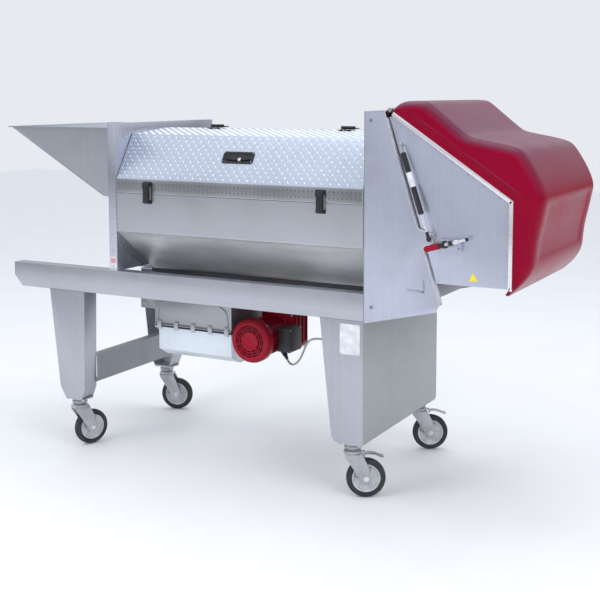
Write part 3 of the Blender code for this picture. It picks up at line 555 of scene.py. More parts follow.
def spline_points(route, steps=5):
    """Points of a smooth line through the route."""
    route = [Vector(p) for p in route]
    points = []
    for i in range(len(route) - 1):
        before, here = route[max(i - 1, 0)], route[i]
        after, beyond = route[i + 1], route[min(i + 2, len(route) - 1)]
        for step in range(steps):
            t = step / steps
            points.append(0.5 * (2 * here + (after - before) * t
                                 + (2 * before - 5 * here + 4 * after - beyond) * t * t
                                 + (3 * here - before - 3 * after + beyond) * t ** 3))
    return points + [route[-1]]


def motor_cable():
    curve = bpy.data.curves.new("cable", "CURVE")
    curve.dimensions = "3D"
    curve.bevel_depth = CABLE_R
    curve.bevel_resolution = 4
    curve.use_fill_caps = True
    points = spline_points(CABLE_ROUTE)
    spline = curve.splines.new("POLY")
    spline.points.add(len(points) - 1)
    for point, place in zip(spline.points, points):
        point.co = (*place, 1)
    cable = linked("crusher_motor_cable", curve)
    curve.materials.append(M["cable"])
    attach(cable, "frame")
    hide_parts("motor_cable")
    bm = bmesh.new()
    foot, tip = Vector((0.0437, -0.1188, 0.5)), Vector(CABLE_ROUTE[0])
    at = facing(foot, tip - foot)
    reach = (tip - foot).length
    lathe(bm, [(0.0049, 0.0), (0.013, 0.0), (0.013, 0.004), (0.0108, 0.005), (0.0112, 0.016), (0.008, 0.024),
               (0.0064, reach - 0.002), (0.0049, reach - 0.0004)], 24, at)
    rod(bm, (0, 0, 0.0006), (0, 0, 0.006), 0.0138, sides=6, at=at)
    piece("cable_gland", bm, "black", bevel=0.0004)
    bm = bmesh.new()
    at = facing((0.364, -0.312, 0.62), (-1, 0, 0))
    lathe(bm, [(0.0047, 0.0), (0.012, 0.0), (0.012, 0.003), (0.0085, 0.006), (0.0047, 0.007)], 24, at)
    piece("leg_grommet", bm, "black", bevel=0.0003)


# Tread plate
LUG_PITCH = 0.019


def lug(bm, centre, along, across, out, length=0.015, wide=0.0042, high=0.0012):
    """One raised bar of the tread pattern, a long low ellipse with a ridge."""
    ring = []
    for i in range(8):
        angle = 2 * math.pi * i / 8
        ring.append(bm.verts.new(centre + 0.5 * length * math.cos(angle) * along
                                 + 0.5 * wide * math.sin(angle) * across))
    ridge = [bm.verts.new(centre + s * 0.26 * length * along + high * out) for s in (1, -1)]
    bm.faces.new((ring[0], ring[1], ridge[0]))
    bm.faces.new((ring[7], ring[0], ridge[0]))
    bm.faces.new((ring[1], ring[2], ridge[0]))
    bm.faces.new((ring[6], ring[7], ridge[0]))
    bm.faces.new((ring[2], ring[3], ridge[1], ridge[0]))
    bm.faces.new((ring[3], ring[4], ridge[1]))
    bm.faces.new((ring[4], ring[5], ridge[1]))
    bm.faces.new((ring[5], ring[6], ridge[0], ridge[1]))
    bm.faces.new(ring[::-1])


def tread(bm, corner, right, up, width, height, keep_out=None):
    """Covers a flat rectangle with lugs that lean left and right in turn."""
    right, up = Vector(right).normalized(), Vector(up).normalized()
    out = right.cross(up)
    columns, rows = int(width / LUG_PITCH), max(1, int(height / LUG_PITCH))
    step_u, step_v = width / columns, height / rows
    for i in range(columns):
        for j in range(rows):
            u, v = (i + 0.5) * step_u, (j + 0.5) * step_v
            if keep_out and keep_out[0] < u < keep_out[1] and keep_out[2] < v < keep_out[3]:
                continue
            lean = 1 if (i + j) % 2 else -1
            along = (right + lean * up).normalized()
            across = (up - lean * right).normalized()
            lug(bm, Vector(corner) + u * right + v * up - 0.0001 * out, along, across, out)


LID_LEFT, LID_RIGHT = -0.6385, 0.5455
LID_EDGES = ((-0.3875, 1.19), (-0.3875, 1.25), (-0.2675, 1.44), (0.004, 1.462))


def lids():
    wide = LID_RIGHT - LID_LEFT
    for name, body, side in (("lid_tread", "front_lid", 1), ("rear_cover_tread", "frame", -1)):
        bm, skirt = bmesh.new(), bmesh.new()
        for k, ((y0, z0), (y1, z1)) in enumerate(zip(LID_EDGES, LID_EDGES[1:])):
            up = Vector((0, side * (y1 - y0), z1 - z0))
            across = up.length
            handle = (0.498, 0.669, 0.078, 0.16) if k == 1 and side > 0 else None
            margin = 0.004
            if side > 0:
                corner = Vector((LID_LEFT, y0, z0)) + margin * up.normalized()
                right = (1, 0, 0)
            else:
                corner = Vector((LID_RIGHT, -y0, z0)) + margin * up.normalized()
                right = (-1, 0, 0)
            tread(bm if k else skirt, corner, right, up, wide, across - 2 * margin, handle)
        # lugs of the sloping faces carry painted sky reflection, those of the skirt painted shade
        piece(name, bm, "lug", body)
        piece(name.replace("tread", "skirt_tread"), skirt, "painted_shade_lug", body)
    # folded safe edges along the lid's ends and front
    for name, body, side in (("lid_hems", "front_lid", 1), ("rear_cover_hems", "frame", -1)):
        bm = bmesh.new()
        for x in (LID_LEFT - 0.002, LID_RIGHT + 0.002):
            for (y0, z0), (y1, z1) in zip(LID_EDGES, LID_EDGES[1:]):
                rod(bm, (x, side * (y0 + 0.0015), z0), (x, side * (y1 + 0.0015), z1), 0.0022, sides=10)
        rod(bm, (LID_LEFT - 0.002, side * (FRONT + 0.0017), 1.1905),
            (LID_RIGHT + 0.002, side * (FRONT + 0.0017), 1.1905), 0.0024, sides=12)
        piece(name, bm, "sheet", body)
    bm = bmesh.new()
    for x in (-0.372, 0.289):
        for dx in (-0.02, 0, 0.02):
            button(bm, (x + dx, 0.034, 1.47), (0, 0, 1), 0.0034)
            rod(bm, (x + dx - 0.0088, 0.0125, 1.472), (x + dx + 0.0088, 0.0125, 1.472), 0.007, sides=20)
        for end in (-0.0305, 0.0305):
            rod(bm, (x + end - 0.0012, 0.0125, 1.472), (x + end + 0.0012, 0.0125, 1.472), 0.0076, sides=20)
    piece("hinge_knuckles", bm, "black", bevel=0.0005)
    bm = bmesh.new()
    for x in (-0.372, 0.289):
        brick(bm, (x - 0.03, -0.03, 1.4618), (x + 0.03, 0.003, 1.4644))
        for dx in (-0.02, 0, 0.02):
            button(bm, (x + dx, -0.018, 1.4644), (0, 0, 1), 0.0034)
    piece("hinge_lid_leaves", bm, "black", "front_lid", bevel=0.0005)


def lid_handle():
    """Recessed pull: a bezel round a dished pocket, a hinged grip bar and a push-button lock."""
    slope = Vector((0, 0.12, 0.19)).normalized()
    at = facing((-0.055, -0.3235, 1.3513), Vector((1, 0, 0)).cross(slope), slope)
    bm = bmesh.new()
    outer = rounded_outline(0.15, 0.056, 0.01)
    inner = rounded_outline(0.128, 0.036, 0.007)
    rings = []
    for points, height in ((outer, 0.0003), (outer, 0.0032), (rounded_outline(0.146, 0.052, 0.009), 0.005),
                           (rounded_outline(0.132, 0.04, 0.008), 0.005), (inner, 0.0036),
                           (rounded_outline(0.118, 0.027, 0.006), -0.008)):
        rings.append([bm.verts.new(at @ Vector((x, y, height))) for x, y in points])
    for a, b in zip(rings, rings[1:]):
        for i in range(len(a)):
            k = (i + 1) % len(a)
            bm.faces.new((a[i], a[k], b[k], b[i]))
    bm.faces.new(rings[-1])
    bm.faces.new(rings[0][::-1])
    piece("handle_pocket", bm, "black", "front_lid", stands_for=("lid_handle",))
    bm = bmesh.new()
    bow = [Vector((-0.052 + 0.104 * i / 24, -0.0065 - 0.0045 * math.sin(math.pi * i / 24), 0.0052))
           for i in range(25)]
    for a, b in zip(bow, bow[1:]):
        rod(bm, a, b, 0.0042, sides=12, at=at)
    for x in (-0.053, 0.053):
        rod(bm, (x, -0.0065, -0.006), (x, -0.0065, 0.0062), 0.0052, sides=16, at=at)
    piece("handle_grip", bm, "black", "front_lid")
    bm = bmesh.new()
    lathe(bm, [(0, 0.01), (0.0058, 0.01), (0.0072, 0.0088), (0.0078, 0.006), (0.0078, -0.006), (0, -0.006)],
          24, at @ Matrix.Translation((0.012, -0.011, 0)), closed=False)
    brick(bm, (0.0112, -0.0145, 0.0096), (0.0128, -0.0075, 0.0104), at)
    piece("handle_lock", bm, "bright", "front_lid")
    bm = bmesh.new()
    for x in (-0.069, 0.069):
        for y in (-0.021, 0.021):
            button(bm, at @ Vector((x, y, 0.0046)), at.to_3x3() @ Vector((0, 0, 1)), 0.0024)
    piece("handle_screws", bm, "zinc", "front_lid")


# turns an outline in Y and Z so that its thickness runs along X
ACROSS_X = Matrix(((0, 0, 1, 0), (1, 0, 0, 0), (0, 1, 0, 0), (0, 0, 0, 1)))


def latches():
    """Toggle latches: base on the lid, lever with a finger lip, wire bail and keeper on the trough."""
    for side, x in (("left", -0.475), ("right", 0.365)):
        bm = bmesh.new()
        plate(bm, rounded_outline(0.046, 0.03, 0.004), 0.003, facing((x, FRONT - 0.0002, 1.2255), (0, -1, 0)))
        for dx in (-0.0165, 0.0165):
            brick(bm, (x + dx - 0.0018, FRONT - 0.015, 1.213), (x + dx + 0.0018, FRONT - 0.002, 1.236))
            button(bm, (x + dx * 0.55, FRONT - 0.0032, 1.2355), (0, -1, 0), 0.0026)
        piece(f"latch_{side}_base", bm, "black", "front_lid", bevel=0.0004)
        bm = bmesh.new()
        section = [(-0.004, 1.236), (-0.013, 1.237), (-0.0165, 1.23), (-0.0172, 1.205), (-0.016, 1.176),
                   (-0.0175, 1.16), (-0.0205, 1.153), (-0.0185, 1.1515), (-0.0145, 1.156), (-0.012, 1.17),
                   (-0.005, 1.178), (-0.0045, 1.205)]
        plate(bm, section, 0.029,
              Matrix.Translation((x - 0.0145, FRONT, 0)) @ ACROSS_X)
        for k in range(5):
            brick(bm, (x - 0.0125, FRONT - 0.0188, 1.183 + 0.008 * k),
                  (x + 0.0125, FRONT - 0.0168, 1.1862 + 0.008 * k))
        rod(bm, (x - 0.0215, FRONT - 0.009, 1.224), (x + 0.0215, FRONT - 0.009, 1.224), 0.003, sides=14)
        piece(f"latch_{side}_lever", bm, "black", f"latch_{side}", bevel=0.0005,
              stands_for=(f"latch_{side}",))
        bm = bmesh.new()
        for dx in (-0.0185, 0.0185):
            rod(bm, (x + dx, FRONT - 0.008, 1.222), (x + dx, FRONT - 0.007, 1.164), 0.0017, sides=10)
        rod(bm, (x - 0.0192, FRONT - 0.007, 1.164), (x + 0.0192, FRONT - 0.007, 1.164), 0.0017, sides=10)
        piece(f"latch_{side}_bail", bm, "zinc", f"latch_{side}")
        bm = bmesh.new()
        plate(bm, rounded_outline(0.044, 0.02, 0.003), 0.0025, facing((x, FRONT - 0.0002, 1.156), (0, -1, 0)))
        hook = [(0.0, 1.158), (-0.0095, 1.158), (-0.011, 1.16), (-0.011, 1.167), (-0.0092, 1.167),
                (-0.0092, 1.1605), (0.0, 1.1605)]
        plate(bm, hook, 0.022, Matrix.Translation((x - 0.011, FRONT, 0))
              @ ACROSS_X)
        for dx in (-0.0175, 0.0175):
            button(bm, (x + dx, FRONT - 0.0027, 1.1525), (0, -1, 0), 0.0022)
        piece(f"latch_{side}_keeper", bm, "black", bevel=0.0004)


# Drive head
HOOD_OUTER = [
    (0.668, 1.553), (0.676, 1.57), (0.69, 1.584), (0.712, 1.5895), (0.752, 1.5898), (0.79, 1.5882),
    (0.806, 1.58), (0.835, 1.557), (0.872, 1.527), (0.909, 1.497), (0.944, 1.469), (0.962, 1.4595),
    (0.985, 1.454), (1.03, 1.446), (1.075, 1.438), (1.12, 1.429), (1.15, 1.42), (1.171, 1.406),
    (1.19, 1.379), (1.212, 1.345), (1.232, 1.31), (1.247, 1.276), (1.256, 1.246), (1.2548, 1.222),
    (1.2515, 1.21), (1.246, 1.18), (1.238, 1.14), (1.228, 1.1), (1.221, 1.06), (1.2175, 1.018),
    (1.2165, 1.006), (1.214, 0.985), (1.203, 0.958), (1.184, 0.932), (1.163, 0.908), (1.13, 0.8785)]
HOOD_SEAM = [(0.674, 1.54), (1.14, 1.226), (1.14, 0.903)]
HOOD_WALL = 0.005


def along_line(points, share):
    """Point at a share of a line's length."""
    points = [Vector(p) for p in points]
    lengths = [(b - a).length for a, b in zip(points, points[1:])]
    left = share * sum(lengths)
    for a, b, length in zip(points, points[1:], lengths):
        if left <= length + 1e-9:
            return a.lerp(b, left / length)
        left -= length
    return points[-1]


def seam_distance(x, z):
    """Distance of a side point from the sloping part of the seam, and how far along it is."""
    a, b = Vector(HOOD_SEAM[0]), Vector(HOOD_SEAM[1])
    way = (b - a).normalized()
    off = Vector((x, z)) - a
    return way.x * off.y - way.y * off.x, off.dot(way) / (b - a).length


RIB_STEPS = (0.054, 0.048, 0.044, 0.042, 0.04, 0.038, 0.036, 0.032, 0.028, 0.023, 0.018, 0.012, 0.006, 0.0)


def hood_rings():
    """Rows of points from the rear seam over the hood to the front seam, one row for each outer point."""
    count = len(HOOD_OUTER)
    outer = [Vector(p) for p in HOOD_OUTER]
    # the seam corner belongs to the outer point that faces it
    corner = 21
    rows = []
    for i, p in enumerate(outer):
        before, after = outer[max(i - 1, 0)], outer[min(i + 1, count - 1)]
        way = (after - before).normalized()
        inward = Vector((way.y, -way.x))
        if inward.dot(Vector((0.98, 1.15)) - p) < 0:
            inward = -inward
        if i <= corner:
            q = Vector(HOOD_SEAM[0]).lerp(Vector(HOOD_SEAM[1]), i / corner)
        else:
            q = Vector(HOOD_SEAM[1]).lerp(Vector(HOOD_SEAM[2]), (i - corner) / (count - 1 - corner))
        reach = (q - p).length
        radius = min(0.058, 0.75 * reach)
        edge = p + inward * radius * 0.55
        side = []
        for k in range(9):
            turn = math.pi / 2 * k / 8
            side.append((p.lerp(edge, 1 - math.cos(turn)), BACK - radius * (1 - math.sin(turn))))
        band = []
        far = seam_distance(edge.x, edge.y)[0]
        fit = min(1.0, far / 0.075)
        for apart in [far + (0.062 * fit - far) * k / 4 for k in (1, 2, 3, 4)] + [d * fit for d in RIB_STEPS]:
            place = edge.lerp(q, 1 - apart / far)
            away, share = seam_distance(place.x, place.y)
            ridge = math.exp(-((away - 0.04) / 0.0042) ** 2) if -0.1 < share < 1.0 else 0.0
            hollow = math.exp(-((away - 0.022) / 0.012) ** 2) if -0.1 < share < 1.04 else 0.0
            band.append((place, BACK + 0.0055 * ridge - 0.0035 * hollow))
        sunk = p + inward * (0.0055 if 1.012 < p.y < 1.215 else 0.0)
        middle = [(sunk, y) for y in (0.0, 0.08, 0.16, 0.24, 0.288)] + [(p, 0.297)]
        rows.append(middle + side + band)
    return rows


def hood():
    rows = hood_rings()
    bm = bmesh.new()
    grid = []
    for row in rows:
        line = [bm.verts.new((p.x, -y, p.y)) for p, y in reversed(row)]
        line += [bm.verts.new((p.x, y, p.y)) for p, y in row[1:]]
        grid.append(line)
    for a, b in zip(grid, grid[1:]):
        for j in range(len(a) - 1):
            bm.faces.new((a[j], b[j], b[j + 1], a[j + 1]))
    bmesh.ops.recalc_face_normals(bm, faces=bm.faces)
    outward = sum((f.normal.dot(f.calc_center_median() - Vector((0.95, 0, 1.15))) for f in bm.faces), 0.0)
    if outward < 0:
        bmesh.ops.reverse_faces(bm, faces=bm.faces)
    mesh = mesh_of("hood_shell", bm)
    shell = linked("hood_shell", mesh)
    mesh.materials.append(M["hood"])
    smooth = shell.modifiers.new("smooth", "SUBSURF")
    smooth.levels = smooth.render_levels = 1
    wall = shell.modifiers.new("wall", "SOLIDIFY")
    wall.thickness = HOOD_WALL
    wall.offset = -1
    shade = shell.modifiers.new("shade", "NODES")
    shade.node_group = SOFT
    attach(shell, "head_cover")
    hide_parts("head_hood")


def hood_trim():
    """Strips over the seams between the hood and the side panels, and the rivets beside them."""
    for side, y in (("front", -1), ("rear", 1)):
        bm = bmesh.new()
        line = [Vector((x, 0, z)) for x, z in HOOD_SEAM]
        for a, b in zip(line, line[1:]):
            way = (b - a).normalized()
            across = Vector((-way.z, 0, way.x))
            corners = [a - 0.0035 * way + s * 0.0075 * across for s in (-1, 1)]
            corners += [b + 0.0035 * way + s * 0.0075 * across for s in (1, -1)]
            slab(bm, *([(p.x, y * deep, p.z) for p in corners] for deep in (0.3835, 0.3912)))
        piece(f"seam_trim_{side}", bm, "bright", "head_cover", bevel=0.0012)
        bm = bmesh.new()
        for share in [0.04 + 0.092 * i for i in range(11)]:
            p = along_line(HOOD_SEAM, share)
            q = Vector((0.94, 1.12))
            p = p + (q - p).normalized() * 0.02
            button(bm, (p.x, y * 0.3823, p.y), (0, y, 0), 0.0036)
        piece(f"side_rivets_{side}", bm, "zinc", "head_cover")


def head_details():
    bm = bmesh.new()
    plate(bm, [(-0.017, -0.014), (0.017, -0.014), (0.0025, 0.015), (-0.0025, 0.015)], 0.0006,
          facing((0.998, -0.3822, 0.939), (0, -1, 0)))
    piece("blank_triangle", bm, "yellow", "head_cover")
    # clamp: turned handle on the left, threaded body and forked tip on the right
    tilt = Matrix.Translation((0.89, -0.409, 1.057)) @ Matrix.Rotation(math.radians(-16), 4, "Y")
    turn = tilt @ Matrix.Rotation(math.radians(90), 4, "Y")
    bm = bmesh.new()
    lathe(bm, [(0, -0.079), (0.0075, -0.0785), (0.0112, -0.075), (0.0124, -0.066), (0.0112, -0.058),
               (0.012, -0.046), (0.0112, -0.034), (0.0122, -0.024), (0.0105, -0.019), (0, -0.0185)], 28, turn,
          closed=False)
    piece("clamp_grip", bm, "red", "clamp_lever", stands_for=("clamp_lever",))
    bm = bmesh.new()
    lathe(bm, [(0, -0.02), (0.008, -0.02), (0.0088, -0.012), (0.0088, 0.004), (0.0072, 0.006), (0, 0.006)],
          24, turn, closed=False)
    lathe(bm, [(0, 0.022), (0.0094, 0.022), (0.0098, 0.026), (0.0098, 0.034), (0.009, 0.037), (0, 0.037)],
          24, turn, closed=False)
    brick(bm, (-0.004, 0.003, -0.0135), (0.008, 0.0135, 0.0135), tilt)
    lathe(bm, [(0, 0.09), (0.0066, 0.09), (0.0072, 0.0925), (0.0066, 0.0985), (0, 0.0992)], 20, turn,
          closed=False)
    piece("clamp_body", bm, "black", "clamp_lever", bevel=0.0004)
    bm = bmesh.new()
    profile = [(0, 0.004), (0.0058, 0.004)]
    for i in range(9):
        z = 0.006 + 0.0018 * i
        profile += [(0.0062, z), (0.0052, z + 0.0009)]
    profile += [(0.0058, 0.023), (0, 0.023)]
    lathe(bm, profile, 20, turn, closed=False)
    lathe(bm, [(0, 0.036), (0.0062, 0.036), (0.0086, 0.041), (0.0088, 0.054), (0.007, 0.058), (0.0052, 0.06),
               (0.005, 0.091), (0, 0.091)], 24, turn, closed=False)
    piece("clamp_rod", bm, "bright", "clamp_lever")
    bm = bmesh.new()
    brick(bm, (0.872, -0.3952, 1.035), (0.955, -0.3945, 1.078))
    for x in (0.882, 0.945):
        for z in (1.042, 1.071):
            bolt(bm, (x, -0.3955, z), (0, -1, 0), 0.0062)
    rod(bm, (0.89, -0.395, 1.057), (0.89, -0.404, 1.057), 0.0062, sides=20)
    piece("clamp_fixings", bm, "zinc", "head_cover", bevel=0.0003)


STRUT_FOOT = Vector((0.833, 0, 1.075))
STRUT_HEAD = Vector((0.716, 0, 1.424))


def struts():
    """Gas springs: black cylinder with a blank band, bright rod and socket ends on ball studs."""
    length = (STRUT_HEAD - STRUT_FOOT).length
    way = (STRUT_HEAD - STRUT_FOOT).normalized()
    for side, y in (("front", -0.4135), ("rear", 0.4135)):
        at = facing((STRUT_FOOT.x, y, STRUT_FOOT.z), way, (0, 1, 0))
        rod_body, tube_body = f"strut_{side}_rod", f"strut_{side}_tube"
        bm = bmesh.new()
        lathe(bm, [(0, 0.01), (0.0046, 0.01), (0.0046, 0.205), (0.004, 0.2065), (0, 0.2065)], 20, at,
              closed=False)
        piece(f"strut_{side}_piston_rod", bm, "bright", rod_body, stands_for=(rod_body,))
        bm = bmesh.new()
        lathe(bm, [(0, -0.0095), (0.0062, -0.008), (0.0094, -0.003), (0.0094, 0.004), (0.0066, 0.009),
                   (0.0062, 0.026), (0.0052, 0.029), (0, 0.029)], 24, at, closed=False)
        piece(f"strut_{side}_foot_socket", bm, "black", rod_body)
        bm = bmesh.new()
        lathe(bm, [(0.005, 0.098), (0.0094, 0.098), (0.0108, 0.1015), (0.0108, 0.108), (0.01, 0.1092),
                   (0.0108, 0.1104), (0.0108, 0.332), (0.0092, 0.3385), (0.005, 0.34), (0.005, 0.3385)],
              32, at)
        piece(f"strut_{side}_cylinder", bm, "black", tube_body, stands_for=(tube_body,))
        bm = bmesh.new()
        lathe(bm, [(0.01084, 0.205), (0.01098, 0.205), (0.01098, 0.262), (0.01084, 0.262)], 32, at)
        piece(f"strut_{side}_band", bm, "label", tube_body)
        bm = bmesh.new()
        lathe(bm, [(0, 0.336), (0.0052, 0.336), (0.0062, 0.34), (0.0066, 0.358), (0.0094, 0.364),
                   (0.0094, length + 0.004), (0.006, length + 0.009), (0, length + 0.0095)], 24, at,
              closed=False)
        piece(f"strut_{side}_head_socket", bm, "zinc", tube_body)
        bm = bmesh.new()
        inner = 0.3877 if y > 0 else -0.3877
        s = 1 if y > 0 else -1
        x, z = STRUT_FOOT.x, STRUT_FOOT.z
        rod(bm, (x, inner, z), (x, y - s * 0.004, z), 0.0048, sides=16)
        rod(bm, (x, inner, z), (x, inner + s * 0.004, z), 0.009, sides=6)
        piece(f"strut_{side}_foot_stud", bm, "zinc", bevel=0.0003)


# Crusher unit
MOTOR_X, MOTOR_Z = -0.045, 0.562


def crusher_motor():
    """Squirrel-cage motor: finned body and pressed fan cover with a ring grille."""
    at = facing((MOTOR_X, 0, MOTOR_Z), (0, -1, 0))
    bm = bmesh.new()
    lathe(bm, [(0, 0.031), (0.06, 0.031), (0.08, 0.036), (0.082, 0.046), (0.075, 0.05), (0.0735, 0.2),
               (0.08, 0.204), (0.0815, 0.214), (0.06, 0.2145), (0, 0.2145)], 48, at, closed=False)
    for i in range(30):
        turn = at @ Matrix.Rotation(2 * math.pi * i / 30, 4, "Z")
        if i in (0, 23):
            continue
        brick(bm, (0.072, -0.0013, 0.052), (0.0835, 0.0013, 0.199), turn)
    piece("crusher_motor_body", bm, "red", bevel=0.0004, stands_for=("crusher_motor",))
    bm = bmesh.new()
    lathe(bm, [(0.084, 0.214), (0.0955, 0.214), (0.0962, 0.2155), (0.0962, 0.242), (0.093, 0.252),
               (0.086, 0.259), (0.077, 0.2612), (0.069, 0.2612), (0.068, 0.259), (0.0745, 0.2575),
               (0.0845, 0.254), (0.09, 0.248), (0.093, 0.24), (0.093, 0.216)], 56, at)
    for inner, outer in ((0.0585, 0.0635), (0.0475, 0.0525)):
        lathe(bm, [(inner, 0.259), (outer, 0.259), (outer, 0.2612), (inner, 0.2612)], 56, at)
    for i in range(12):
        turn = at @ Matrix.Rotation(2 * math.pi * (i + 0.5) / 12, 4, "Z")
        brick(bm, (0.036, -0.002, 0.2585), (0.07, 0.002, 0.2606), turn)
    piece("fan_cover", bm, "red", bevel=0.0004)
    bm = bmesh.new()
    lathe(bm, [(0, 0.258), (0.04, 0.258), (0.042, 0.26), (0.041, 0.2616), (0.033, 0.2618),
               (0.031, 0.2606), (0, 0.2606)], 48, at, closed=False)
    piece("fan_cover_boss", bm, "red")
    bm = bmesh.new()
    lathe(bm, [(0, 0.232), (0.086, 0.232), (0.086, 0.236), (0, 0.236)], 40, at, closed=False)
    for i in range(9):
        turn = (at @ Matrix.Rotation(2 * math.pi * i / 9, 4, "Z") @ Matrix.Translation((0, 0, 0.242))
                @ Matrix.Rotation(0.5, 4, "X"))
        brick(bm, (0.02, -0.001, -0.008), (0.08, 0.001, 0.008), turn)
    piece("cooling_fan", bm, "black")
    bm = bmesh.new()
    for i in range(4):
        angle = math.pi / 4 + math.pi / 2 * i
        out = Vector((math.cos(angle), 0, math.sin(angle)))
        bolt(bm, Vector((MOTOR_X, -0.226, MOTOR_Z)) + 0.0958 * out, out, 0.0058)
        bolt(bm, Vector((MOTOR_X, -0.214, MOTOR_Z)) + 0.069 * out, (0, -1, 0), 0.006)
    piece("motor_screws", bm, "zinc", bevel=0.0002)


def terminal_box():
    """Terminal box on the side of the crusher motor, with its screwed lid."""
    bm = bmesh.new()
    brick(bm, (0.03, -0.149, 0.503), (0.08, -0.041, 0.607))
    brick(bm, (0.01, -0.13, 0.52), (0.032, -0.06, 0.59))
    piece("terminal_box", bm, "iron_dark", bevel=0.0035)
    bm = bmesh.new()
    brick(bm, (0.079, -0.15, 0.502), (0.09, -0.04, 0.608))
    piece("terminal_box_lid", bm, "iron_dark", bevel=0.003)
    bm = bmesh.new()
    for y in (-0.142, -0.048):
        for z in (0.51, 0.6):
            button(bm, (0.0899, y, z), (1, 0, 0), 0.0036)
    piece("terminal_box_screws", bm, "zinc")


def crusher_details():
    bm = bmesh.new()
    # arched stiffening press in the front wall of the housing
    arch = [(-0.54, 0, 0.592), (-0.532, 0, 0.66), (-0.505, 0, 0.688), (-0.45, 0, 0.697), (-0.35, 0, 0.699),
            (-0.255, 0, 0.697), (-0.2, 0, 0.688), (-0.173, 0, 0.66), (-0.166, 0, 0.592)]
    outline = [(p.x, p.z) for p in spline_points(arch, 6)]
    for y in (-0.2377, 0.2377):
        for (x0, z0), (x1, z1) in zip(outline, outline[1:]):
            rod(bm, (x0, y, z0), (x1, y, z1), 0.0036, sides=10)
    piece("housing_press_line", bm, "crusher")
    bm = bmesh.new()
    for y, s in ((-0.2375, -1), (0.2375, 1)):
        brick(bm, (-0.556, min(y, y + s * 0.006), 0.585), (-0.149, max(y, y + s * 0.006), 0.5885))
        for x in (-0.53, -0.44, -0.35, -0.26, -0.175):
            low, high = sorted((y - s * 0.004, y + s * 0.0045))
            brick(bm, (x - 0.011, low, 0.566), (x + 0.011, high, 0.604))
    piece("tray_clips", bm, "sheet", bevel=0.0012)
    bm = bmesh.new()
    for y, s in ((-0.242, -1), (0.242, 1)):
        for x in (-0.53, -0.44, -0.35, -0.26, -0.175):
            bolt(bm, (x, y, 0.5955), (0, s, 0), 0.0056)
    for x, size in ((-0.648, 0.008), (-0.618, 0.008), (-0.585, 0.008), (-0.155, 0.007), (-0.132, 0.007)):
        for y in (-0.34, 0.34):
            bolt(bm, (x, y, 0.7365), (0, 0, 1), size)
    for z in (0.668, 0.706):
        for x in (-0.64, -0.58):
            bolt(bm, (x, -0.2, z), (0, -1, 0), 0.0075)
            bolt(bm, (x, 0.2, z), (0, 1, 0), 0.0075)
    piece("crusher_bolts", bm, "zinc", bevel=0.0002)
    bm = bmesh.new()
    for y in (-0.1305, 0.1305):
        bead(bm, (-0.498, y, 0.7225), (-0.152, y, 0.7225), 0.0024)
    bead(bm, (-0.5005, -0.128, 0.7225), (-0.5005, 0.128, 0.7225), 0.0024)
    for y in (-0.205, 0.205):
        bead(bm, (-0.5525, y * 0.97, 0.65), (-0.5525, y * 0.97, 0.722), 0.0022)
    piece("crusher_welds", bm, "dull")


def tray_details():
    """Folded rim and corner seams of the must tray, and the thread of its spout."""
    bm = bmesh.new()
    for y in (-0.235, 0.235):
        rod(bm, (-0.556, y, 0.5728), (-0.157, y, 0.5728), 0.003, sides=12)
    for x in (-0.556, -0.157):
        rod(bm, (x, -0.235, 0.5728), (x, 0.235, 0.5728), 0.003, sides=12)
    section = [(-0.215, 0.571), (-0.215, 0.47), (-0.15, 0.434), (0.15, 0.434), (0.215, 0.47), (0.215, 0.571)]
    for x in (-0.5485, -0.1645):
        for (y0, z0), (y1, z1) in zip(section, section[1:]):
            bead(bm, (x, y0, z0), (x, y1, z1), 0.0016)
    piece("tray_rim", bm, "tray")
    bm = bmesh.new()
    at = facing((-0.62, 0, 0.48), (-1, 0, 0))
    lathe(bm, [(0.0368, -0.004), (0.043, -0.004), (0.044, -0.001), (0.044, 0.003), (0.0415, 0.006),
               (0.0368, 0.006)], 36, at)
    for k in range(5):
        z = -0.055 + 0.0075 * k
        lathe(bm, [(0.0396, z), (0.0418, z + 0.0012), (0.0418, z + 0.0036), (0.0396, z + 0.0048)], 36, at)
    piece("spout_thread", bm, "tray")


def gearbox_details():
    """Screws, plugs and ribs of the crusher gearbox."""
    bm = bmesh.new()
    for x, z in ((-0.106, 0.515), (-0.106, 0.685), (0.01, 0.685), (0.033, 0.64), (0.033, 0.515),
                 (-0.03, 0.497)):
        bolt(bm, (x, -0.0297, z), (0, -1, 0), 0.0065)
        bolt(bm, (x, 0.1, z), (0, 1, 0), 0.0065)
    lathe(bm, [(0, 0), (0.011, 0), (0.011, 0.003), (0.0075, 0.0035), (0.0075, 0.01), (0, 0.0105)], 24,
          facing((-0.06, 0.04, 0.7), (0, 0, 1)), closed=False)
    piece("gearbox_screws", bm, "zinc", bevel=0.0002)
    bm = bmesh.new()
    for k in range(4):
        brick(bm, (-0.112, -0.018 + 0.034 * k, 0.6995), (0.014, -0.0135 + 0.034 * k, 0.7065))
        brick(bm, (0.0445, -0.02 + 0.034 * k, 0.505), (0.051, -0.0155 + 0.034 * k, 0.642))
    lathe(bm, [(0, 0), (0.03, 0), (0.032, 0.003), (0.032, 0.008), (0.024, 0.012), (0, 0.012)], 36,
          facing((-0.1185, 0.055, 0.65), (-1, 0, 0)), closed=False)
    piece("gearbox_ribs", bm, "red", bevel=0.0012)


# Casters
WHEEL_R, TRAIL = 0.08, 0.054
CASTERS = {"right_front": (0.487, -0.3445, 30), "right_rear": (0.487, 0.3445, 30),
           "left_front": (-0.91, -0.3445, 66), "left_rear": (-0.91, 0.3445, 20)}


